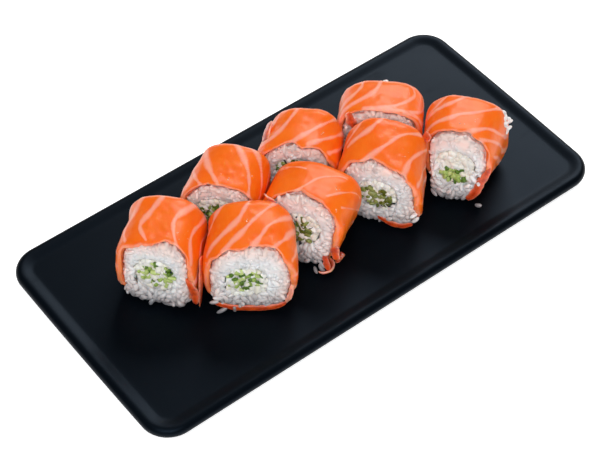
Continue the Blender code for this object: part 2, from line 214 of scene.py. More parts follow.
rollDefaults = {
    "heading": -140, "width": 40.0, "height": 39.0, "length": 30.0, "lean": 0.0, "slant": 0.0,
    "backWidth": 1.0, "backHeight": 1.0, "power": 2.5, "backRound": 6.5, "setBack": 3.0, "skew": 0.0,
    "core": (0.0, 0.5), "fringe": (0.0, 0.0), "bumps": (), "hem": (),
    "fatLines": (), "fatWidth": 1.6, "green": (), "oliveAndShade": 0.0, "flakes": (),
}
rolls = {
    1: {
        "heading": -138, "width": 38.5, "length": 34.5, "lean": -0.11, "slant": 0.10,
        "backWidth": 0.95, "backHeight": 0.97, "power": 2.6, "core": (-0.5, -1.5),
        "bumps": ((168, -0.15, 22, 0.28, -2.2), (150, -0.8, 30, 0.35, 0.6), (-15, -0.4, 25, 0.5, -0.8)),
        "fringe": (1.4, 130),
        "hem": ((-60, 4), (-30, 0.5), (10, -0.5), (35, -1), (41, 1.7), (57, 2.6), (76, 3.1),
                (84, 1.1), (94, -1.2), (104, -2),
                (124, -2), (154, -1), (190, -1), (215, 0.5), (235, 5)),
        "green": (2, 0.5, 8, 7, 0.75), "flakes": ((6, 5.0), (7.8, 3.6)),
        "fatLines": (((97, -0.76), (107, -0.1), (114, 0.46), (101, 0.95)),
                     ((48, -0.9), (63, -0.39), (72, 0.03), (69, 0.45), (58, 0.95))),
    },
    2: {
        "heading": -125.6, "width": 42.0, "height": 39.4, "length": 32.0, "lean": -0.09, "slant": 0.04,
        "backWidth": 1.03, "backHeight": 1.04, "power": 2.45, "skew": 0.04, "core": (-1.5, -3.0),
        "bumps": ((0, 0.6, 35, 0.7, 0.8), (180, -0.5, 38, 0.6, -3.3), (-30, -1.0, 40, 0.35, -4.0)),
        "hem": ((-60, 6), (-25, 2), (0, -0.5), (30, -1.5), (42, -1.5), (48, 0), (56, 2.1), (66, 2.1),
                (80, 1.5), (90, 1.7),
                (100, 0.3), (114, 0.4), (122, 1.2), (127, 0.3), (138, -0.4), (150, 1.2), (165, 2),
                (190, 2), (215, 3), (240, 6)),
        "green": (0, 1.5, 7, 5.5, 0.5), "flakes": ((-1.9, -2.5),),
        "fatLines": (((150, 0.75), (128, 0.41), (107, -0.03), (98, -0.38), (88, -0.9)),
                     ((124, 0.95), (101, 0.4), (82, -0.14), (56, -0.8)),
                     ((88, 0.95), (75, 0.47), (63, 0.05), (30, -0.6)),
                     ((150, -0.1), (140, -0.32), (120, -0.95))),
    },
    3: {
        "heading": -144.5, "width": 37.0, "height": 38.7, "length": 30.5, "lean": -0.03, "slant": -0.09,
        "backWidth": 0.97, "power": 2.6, "backRound": 5.6, "setBack": 2.5, "skew": 0.12,
        "bumps": ((170, -0.5, 30, 0.5, -1.6), (55, -0.8, 25, 0.4, 1.0)),
        "hem": ((-60, 6), (-20, 2), (10, 1), (44, 0.5), (57, 1.7), (68, 1.3), (78, 0.9), (98, 0.7),
                (106, 1.4), (118, 1.2),
                (125, 0), (132, -1.2), (140, -1.5), (165, -1), (200, 1), (230, 5)),
        "green": (0, -2, 7, 6, 0.5), "oliveAndShade": 0.4,
        "fatLines": (((142, -0.95), (116, 0.21), (92, 0.95)), ((95, -0.95), (62, 0.11), (48, 0.95))),
    },
    4: {
        "heading": -149.9, "width": 42.5, "height": 39.2, "length": 29.8, "lean": -0.14,
        "backWidth": 1.04, "backHeight": 0.96, "power": 2.45, "setBack": 4.2, "skew": 0.14,
        "core": (1.0, 0.0),
        "fringe": (1.0, 15), "fatWidth": 0.7,
        "bumps": ((180, 0.6, 25, 0.4, -0.8), (205, 1.0, 30, 0.3, -1.6), (-30, 0.0, 28, 0.9, -1.2)),
        "hem": ((-60, 6), (-25, 1), (0, -1), (20, -1), (33, -1), (39, -1), (42, 0.6), (52, -0.4),
                (64, 1.2), (74, 3),
                (85, 3.3), (96, 4.7), (102, 5.7), (108, 4), (115, 2.7), (123, 1.4), (132, 0.9),
                (140, -1), (165, 1), (200, 4), (235, 6)),
        "green": (-1, -4, 6, 9, 0.6), "oliveAndShade": 0.8,
        "fatLines": (((112, 0.8), (103, 0.55), (89, -0.09), (64, -0.51), (52, -0.55)),
                     ((66, 0.53), (53, 0.11), (35, -0.33), (20, -0.5)),
                     ((150, -0.5), (134, -0.44), (111, -0.37))),
    },
    5: {
        "heading": -140.5, "width": 39.8, "height": 38.1, "length": 29.2, "slant": -0.11,
        "backWidth": 0.92, "power": 2.35, "backRound": 7.1, "setBack": 1.8, "skew": 0.10,
        "bumps": ((165, -0.6, 25, 0.4, -0.8), (150, 0.5, 25, 0.4, 0.6), (65, -0.8, 25, 0.4, 0.9)),
        "hem": ((-60, 6), (-20, 2), (10, 0), (24, -0.3), (42, -1.6), (52, -0.1), (58, 1.5), (68, 1),
                (78, 0.1), (86, -0.7),
                (92, 1.1), (98, 3.2), (108, 2.5), (116, 1.2), (123, -0.1), (135, -1), (165, 0),
                (200, 2), (230, 5)),
        "green": (-3, 1, 6, 6, 0.5), "oliveAndShade": 0.4,
        "fatLines": (((158, 0.62), (130, 0.5), (114, -0.18), (104, -0.9)), ((101, 0.85), (77, 0.18),
                (48, -0.7))),
    },
    6: {
        "heading": -139.9, "width": 42.3, "height": 39.4, "length": 31.0, "slant": 0.07,
        "backWidth": 0.96, "backHeight": 1.08, "power": 2.5, "setBack": 2.0, "skew": -0.02,
        "core": (-1.0, -1.0),
        "bumps": ((5, 0.0, 30, 0.6, -1.8), (225, 1.0, 20, 0.8, -2.0), (-5, -0.8, 30, 0.35, -2.6)),
        "hem": ((-60, 5), (-20, 0), (0, -1.5), (29, -2), (48, -2), (54, -0.1), (62, 0.1), (72, -0.2),
                (79, 1.2), (90, 3),
                (102, 3.9), (110, 2.4), (120, 2), (132, 1.8), (140, -0.2), (160, 0), (200, 3), (240, 5)),
        "green": (-2, -3, 8, 7, 0.8), "oliveAndShade": 0.8,
        "flakes": ((7.6, -2.2), (8.0, -4.0), (6.2, -6.2), (3.8, -7)),
        "fatLines": (((140, 0.15), (113, -0.3), (96, -0.95)), ((112, 0.9), (102, 0.6), (86, 0.18),
                (71, -0.28), (45, -0.7)),
                     ((56, 0.95), (50, 0.3), (29, -0.43), (10, -0.9))),
    },
    7: {
        "heading": -134.2, "width": 42.0, "height": 37.2, "length": 27.3, "lean": 0.05,
        "backWidth": 0.97, "backHeight": 0.92, "power": 2.85, "backRound": 7.2, "skew": 0.03,
        "bumps": ((135, -0.8, 25, 0.5, -0.8),),
        "hem": ((-60, 6), (-20, 1), (10, 0), (60, 1), (90, 1.5), (130, 1), (165, 0), (200, 2), (240, 5)),
        "green": (0, -2, 7, 6, 0.6), "oliveAndShade": 0.4,
        "fatLines": (((155, 0.9), (115, 0.23), (99, -0.32), (95, -0.95)),
                     ((113, 0.84), (91, 0.78), (67, 0.53), (44, -0.23), (56, -0.95))),
    },
    8: {
        "heading": -141.5, "width": 35.0, "length": 34.5, "lean": -0.15, "slant": 0.04,
        "backWidth": 1.2, "backHeight": 0.97, "power": 2.55, "backRound": 6.2, "setBack": 2.8,
        "skew": -0.04,
        "core": (-1.0, 0.5),
        "bumps": ((322, 0.9, 30, 0.9, -6.0), (222, 1.0, 24, 0.8, -3.0), (180, 0.75, 25, 0.35, -0.9),
                  (135, -0.8, 25, 0.5, -0.4)),
        "hem": ((-75, 5), (-45, 1), (-25, -0.5), (10, -1), (32, -2), (36, -1), (38, 0.5), (48, 1.5),
                (57, 3.4), (66, 2.4),
                (72, 2.5), (75, 4.9), (82, 5.3), (94, 4.2), (112, 4.1), (125, 5), (140, 4), (165, 3),
                (200, 4), (240, 6)),
        "green": (-1, -5, 5, 3, 0.4), "flakes": ((0.6, -8),),
        "fatLines": (((150, -0.1), (115, -0.37), (90, -0.9)), ((150, 0.45), (113, 0.3), (96, 0.04),
                (70, -0.23), (44, -0.75)),
                     ((84, 0.8), (54, 0.26), (24, -0.1), (5, -0.5))),
    },
}
shared = {
    "bottomPower": 3.6, "side": 3.4, "top": 2.8, "bottom": 2.0, "gap": 0.35, "fringe": 2.0,
    "coreWidth": 18.5, "coreHeight": 17.5, "corePower": 2.3, "drape": 0.16, "drapeFrom": 1.0,
}
rolls = {number: {**rollDefaults, **settings} for number, settings in rolls.items()}


def leant(roll, x, y, z):
    # moves a straight section as the front cut leans and slants: x grows by share * (lean z + slant y)
    share = x / roll["length"] + 0.5
    up = z - roll["height"] / 2
    y = y + roll["skew"] * up
    return np.stack(np.broadcast_arrays(x + share * (roll["lean"] * up + roll["slant"] * y), y, z), -1)


def skinPoints(roll, x, bearing, inset=0.0, layers=0.0):
    # a squared ellipse, r = (|cos / a|^p + |sin / b|^p)^(-1/p), with the roll's bumps added to r
    share = x / roll["length"] + 0.5
    width = roll["width"] * (roll["backWidth"] * (1 - share) + share)
    height = roll["height"] * (roll["backHeight"] * (1 - share) + share)
    low = inset + layers * shared["bottom"]
    high = height - inset - layers * shared["top"]
    halfY = width / 2 - inset - layers * shared["side"]
    halfZ = (high - low) / 2
    turn = np.radians(bearing)
    power = np.where(np.sin(turn) >= 0, roll["power"], shared["bottomPower"])
    reach = (np.abs(np.cos(turn) / halfY) ** power + np.abs(np.sin(turn) / halfZ) ** power) ** (-1 / power)
    along = 2 * x / roll["length"]
    for centre, at, spread, span, amount in roll["bumps"]:
        off = (bearing - centre + 180) % 360 - 180
        reach = reach + amount * np.exp(-(((along - at) / span) ** 2)) * np.exp(-((off / spread) ** 2))
    y = reach * np.cos(turn)
    z = np.maximum(reach * np.sin(turn) + (low + high) / 2, low)
    return leant(roll, x, y, z)


def wallSteps(roll, bearing, backAngle, hemX, tip, sideRows=44, innerRows=12, backRows=14):
    # how the salmon's skin runs, row by row: out round the back, along to the front hem, over its
    # lip and home along the rice; returns x, inset and depth in wall thicknesses for each row and
    # bearing. hemX is where the hem is, tip the hem's thickness as a share of the wall's.
    half, turnRadius = roll["length"] / 2, roll["backRound"]
    corner = turnRadius - half
    parts = []

    def add(x, inset, depth):
        parts.append(np.stack(np.broadcast_arrays(x, inset, depth, bearing[None, :] * 0.0)[:3]))

    def backTurn(share):
        angle = np.radians(backAngle + (90 - backAngle) * share[:, None])
        return turnRadius * (1 - np.cos(angle)) - half, turnRadius * (1 - np.sin(angle))

    add(*backTurn(np.linspace(0, 1, backRows)), 0.0)
    share = (np.arange(1, sideRows) / sideRows)[:, None]
    add(corner + (hemX - lipOut[0][0] - corner) * share, 0.0, 0.0)
    back, depth = np.array(lipOut).T[:, :, None]
    add(hemX - back, 0.0, depth * tip)
    back, depth = np.array(lipHome).T[:, :, None]
    add(hemX - back, 0.0, tip + (1 - tip) * depth)
    share = (np.arange(innerRows, 0, -1) / (innerRows + 1))[:, None]
    add(corner + (hemX - lipHome[-1][0] - corner) * share, 0.0, 1.0)
    inward = np.linspace(1, 0, backRows // 2)
    add(*backTurn(inward), (0.35 + 0.65 * np.sqrt(inward))[:, None])
    angled, setIn = backTurn(np.zeros(2))
    add(angled - 0.25, setIn, np.array([[0.25], [0.1]]))
    x, inset, depth = np.concatenate(parts, axis=1)
    draped = np.maximum(x - (half - shared["drapeFrom"]), 0)  # past the cut the skin curves down over it
    return x, inset + shared["drape"] * draped ** 2, depth


# the hem's lip: how far behind the hem, and how deep, out to its tip and then home
lipOut = ((4.0, 0.0), (2.6, 0.02), (1.6, 0.08), (0.9, 0.2), (0.4, 0.36), (0.1, 0.55), (0.0, 0.75))
lipHome = ((0.08, 0.0), (0.4, 0.12), (1.0, 0.4), (2.0, 0.75), (3.2, 0.95), (4.4, 1.0))


def placeRolls():
    # each roll's frame on the plate, found by laying its plain skin into its node's box
    for number, roll in rolls.items():
        bearing = np.arange(0, 360, 5.0)
        fringe = roll["fringe"][0] * np.cos(np.radians(bearing - roll["fringe"][1]))
        hemX = roll["length"] / 2 - roll["setBack"] + fringe
        x, inset, layers = wallSteps(roll, bearing, np.full(len(bearing), 16.0), hemX, 1.0)
        skin = skinPoints(roll, x, bearing[None, :], inset, layers).reshape(-1, 3)
        turn = math.radians(roll["heading"])
        cos, sin = math.cos(turn), math.sin(turn)
        matrix = np.array([[cos, -sin, 0], [sin, cos, 0], [0, 0, 1]])
        reached = skin @ matrix.T
        low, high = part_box(f"salmon_{number}")
        middle = (np.array(low) + np.array(high)) / 2 / mm
        offset = middle - (reached.min(0) + reached.max(0)) / 2
        offset[2] = low[2] / mm
        roll["matrix"], roll["offset"] = matrix, offset
        print("roll", number, "stands at", offset.round(1))


def hemBehind(roll, bearing):
    # how far the hem lies behind the front cut, from the roll's table, rounded off a little
    table = np.array(roll["hem"], float)
    fine = np.arange(0, 360, 1.5)
    values = np.interp(fine, table[:, 0], table[:, 1], period=360)
    values = sum(np.roll(values, step) * weight for step, weight in ((-2, 1), (-1, 3), (0, 4), (1, 3), (2, 1))) / 12
    return np.interp(bearing, fine, values, period=360)


def toPlate(roll, points):
    return (np.asarray(points) @ roll["matrix"].T + roll["offset"]) * mm


placeRolls()


# camera, floor and light

view = {
    "azimuth": -37.579, "elevation": 50.067, "roll": -0.317, "distance": 837.0, "lens": 105.65,
    "aim": (-8.3, -5.0, -18.2),  # from the middle of the model's box
}


def setCamera():
    turn, rise, tilt = (math.radians(view[key]) for key in ("azimuth", "elevation", "roll"))
    back = Vector((math.sin(turn) * math.cos(rise), -math.cos(turn) * math.cos(rise), math.sin(rise)))
    right = Vector((math.cos(turn), math.sin(turn), 0))
    up = back.cross(right)
    right, up = right * math.cos(tilt) + up * math.sin(tilt), up * math.cos(tilt) - right * math.sin(tilt)
    camera = bpy.data.objects.new("camera", bpy.data.cameras.new("camera"))
    camera.data.lens, camera.data.sensor_width = view["lens"], 36
    camera.data.clip_start, camera.data.clip_end = 0.05, 20
    middle = (Vector(cadLow) + Vector(cadHigh)) / 2 + Vector(view["aim"]) * mm
    place = middle + back * view["distance"] * mm
    axes = Matrix((right, up, back)).transposed().to_4x4()
    camera.matrix_world = Matrix.Translation(place) @ axes
    bpy.context.scene.collection.objects.link(camera)
    bpy.context.scene.camera = camera


lights = {
    "backBox": {"place": (1.05, 0.72, 1.05), "size": (0.9, 0.8), "power": 17.5, "colour": (1.0, 0.99, 0.97)},
    "frontBox": {"place": (-0.75, -0.8, 1.25), "size": (0.9, 0.9), "power": 18, "colour": (0.98, 0.985, 1.0)},
    "topBox": {"place": (-0.25, 0.1, 1.5), "size": (0.9, 0.9), "power": 2.5, "colour": (1.0, 1.0, 1.0)},
}
world = {"colour": (0.86, 0.93, 1.0), "strength": 0.12}


def setLights():
    for name, box in lights.items():
        lamp = bpy.data.lights.new(name, "AREA")
        lamp.shape, (lamp.size, lamp.size_y) = "RECTANGLE", box["size"]
        lamp.energy, lamp.color = box["power"], box["colour"]
        made = bpy.data.objects.new(name, lamp)
        place = Vector(box["place"])
        made.matrix_world = Matrix.Translation(place) @ place.to_track_quat("Z", "Y").to_matrix().to_4x4()
        bpy.context.scene.collection.objects.link(made)
    sky = bpy.data.worlds.new("studio")
    sky.use_nodes = True
    ground = sky.node_tree.nodes["Background"]
    ground.inputs["Color"].default_value = (*world["colour"], 1)
    ground.inputs["Strength"].default_value = world["strength"]
    bpy.context.scene.world = sky
    bpy.context.scene.view_settings.view_transform = "Standard"


floorSettings = {"size": 4.0, "colour": (0.9, 0.9, 0.9), "glow": 0.65}


def makeFloor():
    # one flat sheet just under the foot, big enough to fill the view
    paint = Paint("floorPaint")
    place = paint.node("ShaderNodeTexCoord", {}, {}, "Object")
    cloud = paint.noise(place, 3.0, 3.0)
    colour = paint.mix(floorSettings["colour"], (0.94, 0.94, 0.94), cloud)
    material = paint.finish(Base_Color=colour, Roughness=0.8, Emission_Color=(1, 1, 1),
                            Emission_Strength=floorSettings["glow"])
    half = floorSettings["size"] / 2
    mesh = bpy.data.meshes.new("floor")
    mesh.from_pydata([(-half, -half, 0), (half, -half, 0), (half, half, 0), (-half, half, 0)], [], [(0, 1, 2, 3)])
    mesh.materials.append(material)
    floor = bpy.data.objects.new("floor", mesh)
    bpy.context.scene.collection.objects.link(floor)


setCamera()
setLights()
makeFloor()
print("camera, lights and floor set")


# the plate

plate = {
    "corner": 14.3, "bow": 0.5, "edgeRadius": 2.83, "edgeHeight": 7.4, "well": 9.1, "slopeFrom": 9.0,
    "undersideInset": 14.0, "underside": 3.9, "footInset": 17.0, "footBand": 4.5, "footRound": 0.5,
    "footCorner": 9.0, "recess": 2.2, "recessSlope": 2.5,
    "cornerSteps": 20, "longSteps": 26, "shortSteps": 14,
}


def plateLoop(inset, corner):
    # a rounded rectangle inside the outline: quarter turns joined by straights, the short sides bowed
    half = (np.array(plateHigh)[:2] - np.array(plateLow)[:2]) / 2 / mm
    halfX, halfY = half[0] - plate["bow"] - inset, half[1] - inset
    points = []
    for quarter, (sideX, sideY) in enumerate(((1, 1), (-1, 1), (-1, -1), (1, -1))):
        turn = np.radians(90 * (quarter + np.linspace(0, 1, plate["cornerSteps"] + 1)))
        x = sideX * (halfX - corner) + corner * np.cos(turn)
        y = sideY * (halfY - corner) + corner * np.sin(turn)
        points.append(np.stack([x, y], -1))
        nextX, nextY = ((-1, 1), (-1, -1), (1, -1), (1, 1))[quarter]
        ends = (nextX * (halfX - corner), nextY * (halfY - corner))
        turnEnd = math.radians(90 * (quarter + 1))
        ends = (ends[0] + corner * math.cos(turnEnd), ends[1] + corner * math.sin(turnEnd))
        steps = plate["shortSteps"] if quarter in (1, 3) else plate["longSteps"]
        share = np.arange(1, steps)[:, None] / steps
        points.append((1 - share) * points[-1][-1] + share * np.array(ends))
    loop = np.concatenate(points)
    bow = plate["bow"] * (1 - (loop[:, 1] / half[1]) ** 2) * loop[:, 0] / halfX
    loop[:, 0] += bow
    return loop


def makePlate(material):
    # a profile of (inset, height, corner) carried round the loop, with a pole in the middle of each side
    rim = plate["edgeRadius"]
    top = plate["edgeHeight"] + rim
    inner = [(inset, plate["well"], max(plate["corner"] - inset, 4))
             for inset in (60, 48, 36, 26, 19, 14, 11)]
    slope = []
    for inset in np.linspace(plate["slopeFrom"], rim, 14):
        up = smoothStep(plate["slopeFrom"] - inset, 0, plate["slopeFrom"] - rim)
        slope.append((inset, plate["well"] + (top - plate["well"]) * up, plate["corner"] - inset))
    edge = []
    for angle in np.radians(np.linspace(90, -90, 25))[1:]:
        inset = rim * (1 - math.cos(angle))
        edge.append((inset, plate["edgeHeight"] + rim * math.sin(angle), plate["corner"] - inset))
    low = plate["edgeHeight"] - rim
    foot, band = plate["footInset"], plate["footBand"]
    footRound = plate["footRound"]
    under = [(rim + 1.2, low - 0.02, plate["corner"] - rim - 1), (8, 4.35, 10.5),
             (plate["undersideInset"] - 1, plate["underside"] + 0.02, 9.4),
             (plate["undersideInset"], plate["underside"], plate["footCorner"]),
             (plate["undersideInset"] + 0.6, plate["underside"] - 0.45, plate["footCorner"])]
    under += [(foot - 0.1, footRound + 0.15, plate["footCorner"])]
    under += [(foot + footRound * (1 - math.cos(a)), footRound * (1 - math.sin(a)), plate["footCorner"])
              for a in np.radians((0, 30, 60, 90))]
    under += [(foot + band, 0, plate["footCorner"]), (foot + band + 0.4, 0.18, plate["footCorner"]),
              (foot + band + plate["recessSlope"], plate["recess"], plate["footCorner"]),
              (foot + band + plate["recessSlope"] + 0.8, plate["recess"], plate["footCorner"]),
              (44, plate["recess"], 5), (58, plate["recess"], 4)]
    rows = inner + slope + edge + under
    loops = [np.column_stack([plateLoop(i, c), np.full(len(plateLoop(i, c)), h)]) for i, h, c in rows]
    columns = len(loops[0])
    points = np.concatenate(loops + [[(0, 0, plate["well"])], [(0, 0, plate["recess"])]])
    centre = (np.array(plateLow) + np.array(plateHigh)) / 2
    points = points * mm + (centre[0], centre[1], plateLow[2])
    count = len(rows)
    faces = [gridFaces(count, columns)[:, ::-1],
             fanFaces(count * columns, 0, columns),
             fanFaces(count * columns + 1, (count - 1) * columns, columns, flip=True)]
    addPiece("plateBody", points, faces, material, replaces=("plate",))


def glazePaint():
    paint = Paint("satinGlaze")
    place = paint.node("ShaderNodeTexCoord", {}, {}, "Object")
    grain = paint.noise(place, 900.0, 3.0, 0.6)
    cloud = paint.noise(place, 16.0, 4.0, 0.55, 0.4)
    smear = paint.noise(paint.stretch(place, (14.0, 60.0, 30.0), (0, 0, 0.7)), 3.0, 5.0, 0.6, 0.6)
    colour = paint.mix((0.0008, 0.0014, 0.0024), (0.0014, 0.0024, 0.0040), cloud)
    roughness = 0.36 + cloud * 0.1 + smear.ramp(0.55, 0.8) * 0.1
    normal = paint.bump(grain, 0.00004, 0.5)
    return paint.finish(Base_Color=colour, Roughness=roughness, Normal=normal,
                        Specular_IOR_Level=0.115, Specular_Tint=(0.43, 0.67, 1.0))


makePlate(glazePaint())
print("plate made")


# the salmon

def smoothCurve(points, steps=14):
    # a Catmull-Rom curve: each stretch a cubic through its two points, leaning on their neighbours
    points = np.asarray(points, float)
    padded = np.vstack([2 * points[0] - points[1], points, 2 * points[-1] - points[-2]])
    p0, p1, p2, p3 = padded[:-3], padded[1:-2], padded[2:-1], padded[3:]
    t = np.linspace(0, 1, steps, endpoint=False)[:, None, None]
    curve = 0.5 * (2 * p1 + (p2 - p0) * t + (2 * p0 - 5 * p1 + 4 * p2 - p3) * t ** 2
                   + (3 * p1 - p0 - 3 * p2 + p3) * t ** 3)
    return np.vstack([curve.transpose(1, 0, 2).reshape(-1, points.shape[1]), points[-1]])


wrap = {
    "columns": 240, "lumps": 0.45, "lumpSize": 8.0, "ripple": 0.12, "groove": 0.16,
    "ragged": 0.55, "raggedFine": 0.3, "stripeStep": 27.0,
}


def allStripes(roll):
    # the roll's own fat lines, then the same lines stepped on round its hidden sides
    own = [np.array(line, float) for line in roll["fatLines"]]
    means = [line[:, 0].mean() for line in own]
    first, last = own[int(np.argmin(means))], own[int(np.argmax(means))]
    stripes = list(own)
    for start, sign in ((first, -1), (last, 1)):
        for step in range(1, 7):
            moved = start + np.array([sign * wrap["stripeStep"] * step, 0])
            if -85 < moved[:, 0].mean() < 265:
                moved[:, 0] += 3 * np.sin(step * 2.1 + np.arange(len(moved)) * 1.7)
                stripes.append(moved)
    return stripes


def surfaceNormals(points):
    # the cross product of the steps along the rows and along the columns of a closed grid
    alongRows = np.roll(points, -1, 0) - np.roll(points, 1, 0)
    alongColumns = np.roll(points, -1, 1) - np.roll(points, 1, 1)
    normal = np.cross(alongRows, alongColumns)
    return normal / np.maximum(np.linalg.norm(normal, axis=-1, keepdims=True), 1e-9)


def makeWrap(number, roll, material):
    seed = 10 * number
    bearing = -90 + 360 * np.arange(wrap["columns"]) / wrap["columns"]
    circle = np.stack([np.cos(np.radians(bearing)), np.sin(np.radians(bearing)), np.zeros_like(bearing)], -1) * 20
    ragged = wrap["ragged"] * softNoise(circle, 5.0, seed) + wrap["raggedFine"] * softNoise(circle, 1.9, seed + 1)
    hemX = roll["length"] / 2 - hemBehind(roll, bearing) + ragged
    onTop = smoothStep(np.abs(bearing - 90), 75, 45)
    tip = 0.85 - 0.6 * onTop + 0.12 * softNoise(circle, 4.0, seed + 6)
    backAngle = 18 + 5 * softNoise(circle, 7.0, seed + 2) + 3 * softNoise(circle, 2.5, seed + 3)
    x, inset, layers = wallSteps(roll, bearing, backAngle, hemX, tip)
    turn = np.broadcast_to(bearing[None, :], x.shape)
    points = skinPoints(roll, x, turn, inset, layers)

    # distance over the skin to the nearest fat line, in line widths
    middle = skinPoints(roll, np.zeros((1, 1)), bearing[None, :])[0]
    around = np.concatenate([[0], np.cumsum(np.linalg.norm(np.diff(middle, axis=0), axis=1))])
    place = np.stack([np.broadcast_to(around, x.shape), x], -1)
    fat = np.full(x.shape, 6.0)
    half = roll["length"] / 2
    for index, line in enumerate(allStripes(roll)):
        curve = smoothCurve(line)
        curve = np.stack([np.interp((curve[:, 0] + 90) % 360, (bearing + 90), around), curve[:, 1] * half], -1)
        share = np.linspace(0, 1, len(curve))
        width = roll["fatWidth"] * (0.85 + 0.3 * np.sin(share * 5 + index) + 0.15 * np.sin(share * 17 + index * 3))
        gap = np.linalg.norm(place[:, :, None, :] - curve[None, None], axis=-1) / width
        fat = np.minimum(fat, gap.min(-1))
    skinPart = layers < 0.3

    # relief: the meat swells between the fat lines, with slow lumps and a fine ripple
    normal = surfaceNormals(points)
    relief = wrap["lumps"] * softNoise(points, wrap["lumpSize"], seed + 4)
    relief = relief + wrap["ripple"] * softNoise(points, 2.6, seed + 5)
    relief = relief - wrap["groove"] * np.exp(-(fat ** 2))
    relief = np.where(skinPart, relief, 0.0) * np.clip((points[..., 2] - 0.3) / 2, 0, 1)
    points = points + normal * relief[..., None]
    points[..., 2] = np.maximum(points[..., 2], 0.0)

    hemGap = np.clip(hemX - x, 0, 12)
    values = {
        "fat": fat.ravel(), "hemGap": hemGap.ravel(), "inner": np.where(layers > 0.45, 1.0, 0.0).ravel(),
        "grain": np.stack([place[..., 0], place[..., 1], layers * 3], -1).reshape(-1, 3),
    }
    faces = gridFaces(*x.shape, closedRows=True)
    addPiece(f"salmonWrap{number}", toPlate(roll, points), [faces[:, ::-1]], material, values,
             (f"salmon_{number}",))


def salmonPaint():
    paint = Paint("salmonMeat")
    place = paint.node("ShaderNodeTexCoord", {}, {}, "Object")
    grain = paint.attribute("grain", "Vector")
    fat, hemGap = paint.attribute("fat"), paint.attribute("hemGap")
    wobble = paint.noise(place, 420.0, 3.0, 0.6)
    cloud = paint.noise(place, 90.0, 3.0, 0.5)
    fibre = paint.noise(paint.stretch(grain, (1.6, 0.25, 0.5), (0, 0, 0.5)), 1.0, 3.0, 0.6, 0.3)
    meat = paint.mix((0.90, 0.112, 0.002), (1.0, 0.19, 0.008), cloud)
    meat = paint.mix(meat, (1.0, 0.26, 0.025), fibre.ramp(0.5, 0.8) * 0.3)
    line = 1 - (fat + (wobble - 0.5) * 0.5).ramp(0.3, 1.25)
    hem = 1 - (hemGap + (wobble - 0.5) * 1.2 + (cloud - 0.5) * 2.0).ramp(0.1, 1.2)
    colour = paint.mix(meat, (1.0, 0.37, 0.26), line * 0.9)
    colour = paint.mix(colour, (1.0, 0.48, 0.36), hem * 0.45)
    colour = paint.mix(colour, (0.95, 0.22, 0.03), paint.attribute("inner") * 0.6)
    rough = 0.30 + cloud * 0.14 + line * 0.08
    bumps = fibre * 0.25 + wobble * 0.3 + line * 0.3
    normal = paint.bump(bumps, 0.00022, 0.6)
    return paint.finish(Base_Color=colour, Roughness=rough, Normal=normal, Subsurface_Weight=0.35,
                        Subsurface_Radius=(1.0, 0.25, 0.06), Subsurface_Scale=0.003,
                        Specular_IOR_Level=0.2, Coat_Weight=0.1, Coat_Roughness=0.1)


salmon = salmonPaint()
for number, roll in rolls.items():
    makeWrap(number, roll, salmon)
print("salmon laid")


# the rice

rice = {
    "columns": 120, "sinkTop": 0.2, "sinkLow": 0.75, "relief": 0.35, "grainLength": 5.3, "grainWidth": 2.6,
    "spacing": 2.05, "sunkTop": 1.36, "sunkLow": 0.75, "faceRound": 2.4, "hollow": 0.4, "backHollow": 0.9,
    "coreRound": 0.7, "standOut": 0.5, "spill": 0.1, "upended": 0.16,
}


def holePoints(roll, x, bearing, grow):
    # the outline of the filling's hole: a squared ellipse, straight through the roll
    turn = np.radians(bearing)
    halfY, halfZ, power = shared["coreWidth"] / 2 + grow, shared["coreHeight"] / 2 + grow, shared["corePower"]
    reach = (np.abs(np.cos(turn) / halfY) ** power + np.abs(np.sin(turn) / halfZ) ** power) ** (-1 / power)
    offY, offZ = roll["core"]
    return leant(roll, x, reach * np.cos(turn) + offY, reach * np.sin(turn) + roll["height"] / 2 + offZ)


